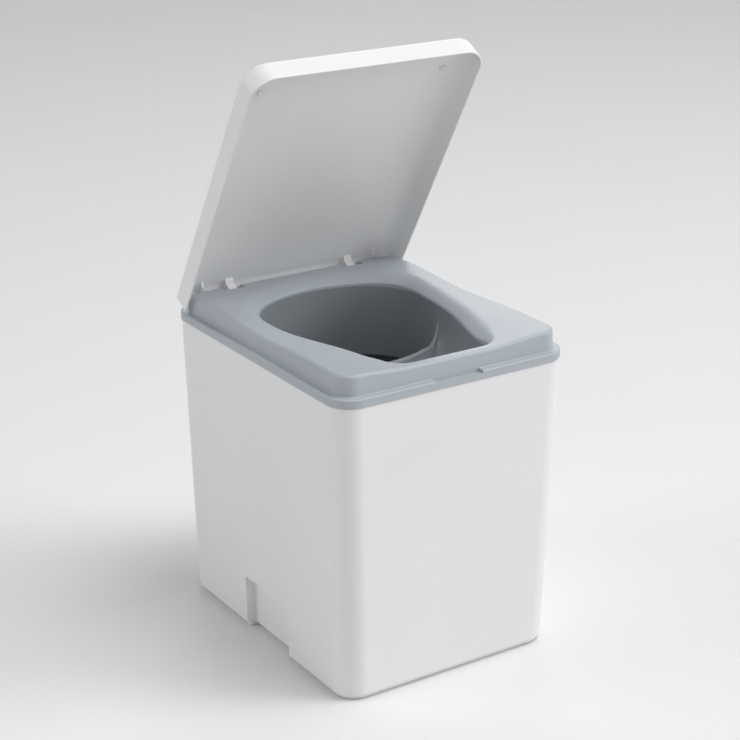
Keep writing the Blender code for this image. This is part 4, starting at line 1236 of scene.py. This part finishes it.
class CAMPTOILET_OT_base(bpy.types.Operator):
    """Make the base that stands back under the box, and its four rubber feet"""

    bl_idname = "camp_toilet.make_base"
    bl_label = "Base and Feet"

    def execute(self, context):
        toilet = context.scene.camp_toilet
        form = BoxForm(toilet)
        inset = form.size.base_inset
        low, high = BASE_LOW.z, BASE_HIGH.z
        spots = [(inset + step, low + rise) for step, rise in fillet(BASE_EDGE, 4)] + [(inset, high)]
        rings = [level(form.outline(form.low, step), z) for step, z in spots]
        sockets = []
        for end in ENDS:
            for hand in HANDS:
                pad_low, pad_high, centre = placed(f"foot_{end}_{hand}")
                radius = (pad_high.x - pad_low.x) / 2
                sockets.append(disc(radius + TOUCH, centre, low - REACH, pad_high.z + TOUCH))
                self.add_pad(f"{end}_{hand}", centre, radius, pad_low.z, pad_high.z)
        grips = form.grip_plugs(0, REACH, inset)
        mesh = carved(loft(rings), [("DIFFERENCE", grips), ("DIFFERENCE", gathered(sockets))])
        show("base_tray", mesh, "base_plate", "housing", "white_plastic")
        return {"FINISHED"}

    def add_pad(self, name, centre, radius, low, high):
        """A round pad with a dished, grooved face and softened edges."""
        deep = low + PAD_GROOVE
        # Shares of the pad's radius: a dish in the middle, and grooves round it
        shares = [(0.2, deep), (0.3, deep), (0.34, low)]
        for groove in PAD_GROOVES:
            shares += [(groove, low), (groove + 0.02, deep), (groove + 0.06, deep), (groove + 0.08, low)]
        profile = [(radius * part, z) for part, z in shares]
        profile += [(radius - step, low + rise) for step, rise in fillet(PAD_EDGE, 4)]
        profile += [(radius, high - PAD_EDGE / 2), (radius - PAD_EDGE / 2, high)]
        show(f"pad_{name}", turned(profile, centre, 64), f"foot_{name}", "housing", "black_rubber")


class CAMPTOILET_OT_seat(bpy.types.Operator):
    """Mould the grey seat with its ledge, raised saddle, rolled throat and hinge pockets"""

    bl_idname = "camp_toilet.make_seat"
    bl_label = "Seat"

    def execute(self, context):
        toilet = context.scene.camp_toilet
        seat = SeatForm(toilet)
        box = BoxForm(toilet)
        size = seat.size
        wall = size.wall
        gap = toilet.box.wall + LOCATOR_GAP
        outer, inner = (box.outline(box.rim, inset) for inset in (gap, gap + LOCATOR_WALL))
        locator = tube(outer, inner, SEAT_LOW.z, seat.ledge - wall + OVERLAP)

        floor = seat.ledge - size.notch_depth
        half = size.notch_width / 2
        fill_low = (-half - wall, -seat.half_depth + OVERLAP, floor - wall)
        fill = block(fill_low, (half + wall, seat.front + OVERLAP, seat.ledge - OVERLAP))
        notch = trough(0, half, floor, seat.ledge + size.notch_depth, NOTCH_CORNER)
        cuts = [loft([[(x, y, z) for x, z in notch] for y in (-seat.half_depth - REACH, seat.front)])]

        added = []
        bores = []
        for node in SCREWS:
            _, high, centre = placed(node)
            added.append(disc(BOSS_RADIUS, centre, seat.lip + TOUCH, seat.deck - BOSS_ROOT * wall))
            bores.append(disc(SCREW_RADIUS + TOUCH, centre, seat.lip - REACH, high.z + TOUCH))
        pin = toilet.lid.pin_diameter / 2
        front = HINGE.y - size.pocket_front
        heights = (HINGE.z - size.pocket_depth, seat.deck + REACH)
        for hand in HANDS:
            low, high, (x, _) = placed(f"hinge_pin_{hand}")
            corner = (low.x, front - wall, seat.ledge - OVERLAP)
            added.append(block(corner, (high.x, seat.back - wall, seat.deck - wall + OVERLAP)))
            pocket = trough(x, size.pocket_width / 2, front, seat.back + REACH, POCKET_CORNER)
            cuts.append(loft([level(pocket, z) for z in heights]))
            bores.append(rod(pin + TOUCH, HINGE.y, HINGE.z, low.x - REACH, high.x + REACH))
        steps = [
            ("UNION", locator),
            ("UNION", fill),
            ("UNION", gathered(added)),
            ("DIFFERENCE", gathered(cuts)),
            ("DIFFERENCE", gathered(bores)),
        ]
        mesh = carved(loft(seat.outside() + seat.underside()[::-1], closed=True), steps)
        show("seat_moulding", mesh, "seat", "seat_unit", "grey_plastic")
        return {"FINISHED"}


class CAMPTOILET_OT_bowl(bpy.types.Operator):
    """Mould the bowl whose crest parts the funnel in front from the open chute behind"""

    bl_idname = "camp_toilet.make_bowl"
    bl_label = "Bowl"

    def execute(self, context):
        toilet = context.scene.camp_toilet
        bowl = BowlForm(toilet, SeatForm(toilet))
        walls, others = bowl.outer()
        steps = [("UNION", other) for other in others]
        steps.append(("DIFFERENCE", bowl.hollow()))
        ends = (bowl.rim - REACH, bowl.rim + REACH)
        holes = [disc(SCREW_RADIUS + TOUCH, placed(node)[2], *ends) for node in SCREWS]
        steps.append(("DIFFERENCE", gathered(holes)))
        look = toilet.finishes
        # A darker copy of the seat's grey plastic, as painted shade inside the bowl.
        deep = plastic("Grey Plastic With Painted Shade", look.bowl, look.grey_roughness, 1500, 0.08)
        show("bowl_moulding", carved(walls, steps), "separator_bowl", "seat_unit", "grey_plastic", deep)
        return {"FINISHED"}


class CAMPTOILET_OT_lid(bpy.types.Operator):
    """Mould the lid with its lugs and ribs, and set two soft buttons in it"""

    bl_idname = "camp_toilet.make_lid"
    bl_label = "Lid"

    def execute(self, context):
        toilet = context.scene.camp_toilet
        seat = SeatForm(toilet)
        form = LidForm(toilet, seat)
        size = form.size
        nose = seat.size.nose_radius
        lip = nose + size.back_gap
        inner_x = seat.half_width - size.inset - size.wall
        wide = seat.half_width + REACH
        swing = HINGE.z - seat.ledge - OVERLAP
        heel = [(0, -swing), (0, -REACH), (REACH, -REACH), (REACH, 0), (swing, 0)]
        heel += arc((0, 0), swing, 0, -90, 20)[1:]
        rear = block((-inner_x, 0, -REACH), (inner_x, REACH, lip))

        root = form.ceiling - HINGE.z + OVERLAP
        back = size.overhang - size.wall / 2
        low = nose + OVERLAP
        rib = [(root - low - size.rib_reach, low), (0, low), (back, lip), (back, root)]
        rib.append((-size.rib_reach, root))
        lug = arc((0, 0), size.lug_radius, -180, 0, 24)
        lug += [(size.lug_radius, 0), (back, lip), (back, root)]
        lug += [(-size.lug_root, root), (-size.lug_radius, lip)]
        added = []
        bores = []
        for side in SIDES:
            left, right = (side * size.lug_place + half for half in (-size.lug_width / 2, size.lug_width / 2))
            added.append(prism_x(lug, left, right))
            bores.append(rod(size.pin_diameter / 2 + TOUCH, 0, 0, left - OVERLAP, right + OVERLAP))
            rib_x = side * size.rib_place
            added.append(prism_x(rib, rib_x - size.rib_width / 2, rib_x + size.rib_width / 2))
        steps = [
            ("DIFFERENCE", rear),
            ("DIFFERENCE", prism_x(heel, -wide, wide)),
            ("UNION", gathered(added)),
            ("DIFFERENCE", gathered(bores)),
        ]
        mesh = carved(loft(form.rings()), steps)
        mesh.transform(form.swung())
        show("lid_moulding", mesh, "lid", "lid", "white_plastic")
        for side, hand in zip(SIDES, HANDS):
            self.add_button(form, side, hand)
        return {"FINISHED"}

    def add_button(self, form, side, hand):
        """A soft button on the lid's ceiling that lands on the saddle's corner."""
        size, seat = form.size, form.seat
        x = side * (seat.half_width - size.inset - size.button_side)
        y = size.inset - seat.half_depth + size.button_setback
        low = seat.top(x, y) + size.gap
        radius = size.button_diameter / 2
        profile = [(radius - step, low + rise) for step, rise in fillet(BUTTON_DOME, 6)[1:]]
        profile += [(radius, form.ceiling - BUTTON_FOOT), (radius + BUTTON_FLARE, form.ceiling - TOUCH)]
        mesh = turned(profile, (x, y), 40)
        mesh.transform(form.swung() @ Matrix.Translation(-HINGE))
        show(f"lid_button_{hand}", mesh, f"lid_bumper_{hand}", "lid", "cloudy_plastic")


class CAMPTOILET_OT_canister(bpy.types.Operator):
    """Blow the cloudy canister with its handle, and fit its seal and ribbed collar"""

    bl_idname = "camp_toilet.make_canister"
    bl_label = "Canister, Seal and Collar"

    def execute(self, context):
        toilet = context.scene.camp_toilet
        size = toilet.containers
        low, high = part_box("urine_canister")
        seal_low, seal_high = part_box("inlet_seal")
        centre = (0, (seal_low.y + seal_high.y) / 2)
        neck_top = seal_low.z - TOUCH
        shoulder = neck_top - size.neck_height
        neck = size.neck_diameter / 2
        bead = [(neck, shoulder - OVERLAP), (neck, neck_top - NECK_EDGE), (neck - NECK_EDGE, neck_top)]
        handle_x = neck + size.handle_span / 2 + size.collar_wall + OVERLAP + size.handle_bar
        steps = [
            ("UNION", turned(bead, centre, 64)),
            ("UNION", self.handle(size, Vector((handle_x, centre[1], shoulder - size.handle_bar / 2)))),
            ("DIFFERENCE", loft(self.form(size, low, high, shoulder, size.wall))),
            ("DIFFERENCE", disc(neck - size.wall, centre, shoulder - size.shoulder, neck_top + REACH)),
        ]
        mesh = carved(loft(self.form(size, low, high, shoulder, 0)), steps)
        show("canister_moulding", mesh, "urine_canister", "canister", "cloudy_plastic")
        hole = toilet.bowl.spout_diameter / 2 + TOUCH
        self.add_seal(seal_low, seal_high, centre, hole)
        self.add_collar(size, centre, neck + TOUCH, hole + OVERLAP)
        return {"FINISHED"}

    def form(self, size, low, high, shoulder, inset):
        """Rings of the canister from its rounded foot to its rounded shoulder."""
        half = high.x - inset
        front, back = low.y + inset, high.y - inset
        radius = size.radius - inset
        bottom, top = low.z + inset, shoulder - inset
        spots = [(step, bottom + rise) for step, rise in fillet(size.heel, 6)]
        spots += [(step, top - drop) for drop, step in fillet(size.shoulder, 8)]
        rings = []
        for step, z in spots:
            corner = radius - step / 2
            rings.append(level(rounded(half - step, front + step, back - step, corner, corner), z))
        return rings

    def handle(self, size, foot, steps=24):
        """An arched bar along X, round in section."""
        rings = []
        across = Vector((0, 1, 0))
        section = circle(size.handle_bar / 2, steps=steps)
        half, rise = size.handle_span / 2, size.handle_rise
        for i in range(steps + 1):
            angle = math.pi * (1 - i / steps)
            centre = foot + Vector((half * math.cos(angle), 0, rise * math.sin(angle)))
            along = Vector((-half * math.sin(angle), 0, rise * math.cos(angle)))
            outward = across.cross(along.normalized())
            rings.append([tuple(centre + across * a + outward * b) for a, b in reversed(section)])
        return loft(rings)

    def add_seal(self, low, high, centre, hole):
        """A flat rubber ring with bevelled edges."""
        outer = (high.x - low.x) / 2
        edge = SEAL_EDGE
        profile = [(outer - edge, low.z), (outer, low.z + edge)]
        profile += [(outer, high.z - edge), (outer - edge, high.z)]
        profile += [(hole + edge, high.z), (hole, high.z - edge)]
        profile += [(hole, low.z + edge), (hole + edge, low.z)]
        mesh = loft([level(circle(radius, centre, 64), z) for radius, z in profile], closed=True)
        show("seal_ring", mesh, "inlet_seal", "collar", "black_rubber")

    def add_collar(self, size, centre, bore, hole):
        """The screw collar: a ribbed skirt and a top with a hole for the spout."""
        low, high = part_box("canister_collar")
        top = high.z
        cap = top - size.collar_wall
        count = COLLAR_RIBS * POINTS_PER_RIB

        def skirt(lift, inset):
            points = []
            for i in range(count):
                turn = 2 * math.pi * i / count
                wave = max(math.sin(2 * math.pi * i / POINTS_PER_RIB), 0) ** 0.5
                reach = bore + size.collar_wall - inset + lift * size.rib_height * wave
                points.append((centre[0] + reach * math.cos(turn), centre[1] + reach * math.sin(turn)))
            return points

        skirts = [  # share of the ribs' height, inset and height
            (0, COLLAR_EDGE, low.z),
            (0, 0, low.z + COLLAR_EDGE),
            (0, 0, low.z + RIB_FOOT),
            (1, 0, low.z + RIB_FOOT + RIB_RUNOUT),
            (1, 0, top - RIB_HEAD - RIB_RUNOUT),
            (0, 0, top - RIB_HEAD),
            (0, COLLAR_SHOULDER * 0.2, top - COLLAR_SHOULDER * 0.8),
            (0, COLLAR_SHOULDER, top),
        ]
        rounds = [(hole + COLLAR_EDGE, top), (hole, top - COLLAR_EDGE)]
        rounds += [(hole, cap), (bore, cap), (bore, low.z)]
        rings = [level(skirt(lift, inset), z) for lift, inset, z in skirts]
        rings += [level(circle(radius, centre, count), z) for radius, z in rounds]
        show("collar_ring", loft(rings, closed=True), "canister_collar", "collar", "grey_plastic")


class CAMPTOILET_OT_bin(bpy.types.Operator):
    """Mould the bin with its turned rim"""

    bl_idname = "camp_toilet.make_bin"
    bl_label = "Bin"

    def execute(self, context):
        toilet = context.scene.camp_toilet
        size = toilet.containers
        low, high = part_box("solids_bin")
        wall = size.wall
        rim = high.z
        under = rim - size.bin_rim_height
        inside = size.bin_rim + wall
        heel = fillet(BIN_HEEL, 5)
        bead = fillet(wall / 2, 5)
        # Each spot is 0 for the foot or 1 for the rim, an inset and a height
        spots = [(0, size.bin_rim + step, low.z + rise) for step, rise in heel]
        spots += [(1, size.bin_rim, rim - wall), (1, wall, rim - wall), (1, wall, under), (1, 0, under)]
        spots += [(1, step, rim - drop) for drop, step in bead]
        spots += [(1, inside - step, rim - drop) for drop, step in reversed(bead)]
        spots += [(0, inside + step, low.z + wall + rise) for rise, step in heel]
        rings = []
        for part, inset, z in spots:
            step = inset + size.bin_draft * (1 - part)
            radius = size.radius - inset
            rings.append(level(rounded(high.x - step, low.y + step, high.y - step, radius, radius), z))
        show("bin_moulding", loft(rings), "solids_bin", "bin", "grey_plastic")
        return {"FINISHED"}


class CAMPTOILET_OT_fasteners(bpy.types.Operator):
    """Turn the hinge pins and the four screws that hold the bowl"""

    bl_idname = "camp_toilet.make_fasteners"
    bl_label = "Pins and Screws"

    def execute(self, context):
        for hand in HANDS:
            low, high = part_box(f"hinge_pin_{hand}")
            mesh = rod((high.z - low.z) / 2, HINGE.y, HINGE.z, low.x, high.x, PIN_CHAMFER)
            show(f"hinge_rod_{hand}", mesh, f"hinge_pin_{hand}", "seat_unit", "pin_steel")
            for end in ENDS:
                self.add_screw(f"{end}_{hand}")
        return {"FINISHED"}

    def add_screw(self, name):
        """A pan-head screw from below, with a cross recess and a coarse thread."""
        node = f"bowl_screw_{name}"
        low, high, (x, y) = placed(node)
        shank = SCREW_RADIUS
        root = shank * THREAD_ROOT
        under = low.z + HEAD_HEIGHT
        profile = [(HEAD_RADIUS * HEAD_FLAT, low.z)]
        for angle in quarter(5)[1:]:
            reach = between(HEAD_FLAT, 1, math.sin(angle))
            profile.append((HEAD_RADIUS * reach, low.z + HEAD_CROWN * (1 - math.cos(angle))))
        profile += [(HEAD_RADIUS, under), (shank * SCREW_NECK, under)]
        for i in range(int((high.z - under - THREAD_MARGIN) / THREAD_PITCH)):
            z = under + THREAD_START + i * THREAD_PITCH
            profile.append((root, z))
            profile += [(shank, z + THREAD_PITCH * part) for part in THREAD_CREST]
        profile += [(root, high.z - SCREW_TIP), (shank * SCREW_POINT, high.z)]
        cuts = []
        for half_x, half_y in ((CROSS_REACH, CROSS_HALF), (CROSS_HALF, CROSS_REACH)):
            near = (x - half_x, y - half_y, low.z - REACH)
            far = (x + half_x, y + half_y, low.z + CROSS_DEPTH)
            cuts.append(("DIFFERENCE", block(near, far)))
        show(f"bowl_fixing_{name}", carved(turned(profile, (x, y), 32), cuts), node, "seat_unit", "pin_steel")


# Stage


class CAMPTOILET_OT_stage(bpy.types.Operator):
    """Lay the pale floor and set the lamps, the soft sky and the camera"""

    bl_idname = "camp_toilet.make_stage"
    bl_label = "Stage"

    def execute(self, context):
        scene = context.scene
        settings = scene.camp_toilet.stage
        self.lay_floor(settings)
        self.light_sky(settings)
        key = self.add_lamp("key_lamp", "AREA", KEY_WAY, settings.key)
        key.shape = "DISK"
        key.size = KEY_SIZE
        self.add_lamp("rim_lamp", "SUN", RIM_WAY, settings.rim).angle = LAMP_SPREAD
        self.add_lamp("fill_lamp", "SUN", FILL_WAY, settings.fill).angle = LAMP_SPREAD
        self.add_lamp("side_lamp", "SUN", SIDE_WAY, settings.side).angle = LAMP_SPREAD
        camera = bpy.data.cameras.new("camera")
        camera.lens = settings.lens
        camera.sensor_width = SENSOR_WIDTH
        item = bpy.data.objects.new("camera", camera)
        turn = Euler((math.pi / 2 - CAMERA_TILT, 0, CAMERA_TURN)).to_matrix().to_4x4()
        item.matrix_world = Matrix.Translation(CAMERA_PLACE) @ turn
        scene.collection.objects.link(item)
        scene.camera = item
        scene.view_settings.view_transform = "Standard"
        return {"FINISHED"}

    def lay_floor(self, settings):
        """A wide, flat floor."""
        rings = [level(circle(settings.floor_radius * part, steps=64), 0) for part in (1, 0.6, 0.3, 0.1)]
        shape = bmesh.new()
        shape.faces.new(skin(shape, rings)[1])
        bmesh.ops.recalc_face_normals(shape, faces=shape.faces)
        mesh = as_mesh(shape)
        if mesh.polygons[0].normal.z < 0:
            mesh.flip_normals()
        floor = bpy.data.objects.new("studio_floor", mesh)
        bpy.context.scene.collection.objects.link(floor)
        mesh.materials.append(self.floor_finish(settings))

    def floor_finish(self, settings):
        """A matt floor whose seen tone is painted darker towards the back, a painted fall-off of light."""
        material = bpy.data.materials.new("Pale Floor")
        material.use_nodes = True
        tree = material.node_tree
        place = add_node(tree, "ShaderNodeTexCoord").outputs["Object"]
        along = add_node(tree, "ShaderNodeVectorMath", {0: place, 1: FAR_WAY}, operation="DOT_PRODUCT")
        far = spread(tree, along.outputs["Value"], FADE_START, FADE_END, 0, 1)
        # Painted fall-off of light: the seen floor darkens towards the back.
        tone = mixed(tree, far, (*settings.near_floor, 1), (*settings.far_floor, 1))
        shown = mixed(tree, seen_directly(tree), (*settings.floor, 1), tone)
        rough = spread(tree, noise(tree, place, 3, 3), 0.3, 0.7, 0.72, 0.82)
        look = {"Base Color": shown, "Roughness": rough, "Specular IOR Level": 0.2}
        feed(tree, tree.nodes["Principled BSDF"], look)
        return material

    def light_sky(self, settings):
        """A sky that lights the toilet from low all round, and is seen in the far floor's tone."""
        world = bpy.data.worlds.new("Soft Sky")
        bpy.context.scene.world = world
        world.use_nodes = True
        tree = world.node_tree
        way = add_node(tree, "ShaderNodeTexCoord").outputs["Generated"]
        height = add_node(tree, "ShaderNodeSeparateXYZ", {"Vector": way}).outputs["Z"]
        light = tree.nodes["Background"]
        fall = spread(tree, height, 0, 1, settings.horizon, settings.zenith)
        feed(tree, light, {"Color": (1, 1, 1, 1), "Strength": fall})
        seen = add_node(tree, "ShaderNodeBackground", {"Color": (*settings.far_floor, 1)})
        shades = {0: seen_directly(tree), 1: light.outputs["Background"], 2: seen.outputs["Background"]}
        choose = add_node(tree, "ShaderNodeMixShader", shades)
        feed(tree, tree.nodes["World Output"], {"Surface": choose.outputs["Shader"]})

    def add_lamp(self, name, kind, way, energy):
        """A lamp that shines on the toilet from the given way."""
        lamp = bpy.data.lights.new(name, kind)
        lamp.energy = energy
        item = bpy.data.objects.new(name, lamp)
        item.location = Vector(way) + LAMP_TARGET
        item.rotation_euler = Vector(way).to_track_quat("Z", "Y").to_euler()
        item.visible_camera = False
        bpy.context.scene.collection.objects.link(item)
        return lamp


class CAMPTOILET_PT_panel(bpy.types.Panel):
    """Buttons for the pieces, and their settings"""

    bl_label = "Camp Toilet"
    bl_idname = "CAMPTOILET_PT_panel"
    bl_space_type = "VIEW_3D"
    bl_region_type = "UI"
    bl_category = "Camp Toilet"

    def draw(self, context):
        toilet = context.scene.camp_toilet
        column = self.layout.column(align=True)
        for step in STEPS:
            column.operator(step.bl_idname)
        for part in toilet.bl_rna.properties:
            if part.type != "POINTER" or part.identifier == "rna_type":
                continue
            frame_box = self.layout.box()
            frame_box.label(text=part.name)
            group = getattr(toilet, part.identifier)
            for setting in group.bl_rna.properties:
                if setting.identifier not in ("rna_type", "name"):
                    frame_box.prop(group, setting.identifier)


GROUPS = (  # the last one holds the others
    CAMPTOILET_PG_box,
    CAMPTOILET_PG_seat,
    CAMPTOILET_PG_throat,
    CAMPTOILET_PG_bowl,
    CAMPTOILET_PG_lid,
    CAMPTOILET_PG_containers,
    CAMPTOILET_PG_finishes,
    CAMPTOILET_PG_stage,
    CAMPTOILET_PG_toilet,
)
STEPS = (
    CAMPTOILET_OT_stage,
    CAMPTOILET_OT_box,
    CAMPTOILET_OT_base,
    CAMPTOILET_OT_seat,
    CAMPTOILET_OT_bowl,
    CAMPTOILET_OT_lid,
    CAMPTOILET_OT_canister,
    CAMPTOILET_OT_bin,
    CAMPTOILET_OT_fasteners,
)


def register():
    for kind in GROUPS + STEPS + (CAMPTOILET_PT_panel,):
        bpy.utils.register_class(kind)
    bpy.types.Scene.camp_toilet = PointerProperty(type=CAMPTOILET_PG_toilet)


def unregister():
    del bpy.types.Scene.camp_toilet
    for kind in reversed(GROUPS + STEPS + (CAMPTOILET_PT_panel,)):
        bpy.utils.unregister_class(kind)


def main():
    register()
    make = bpy.ops.camp_toilet
    make.make_stage()
    make.make_box()
    make.make_base()
    make.make_seat()
    make.make_bowl()
    make.make_lid()
    make.make_canister()
    make.make_bin()
    make.make_fasteners()


if __name__ == "__main__":
    main()
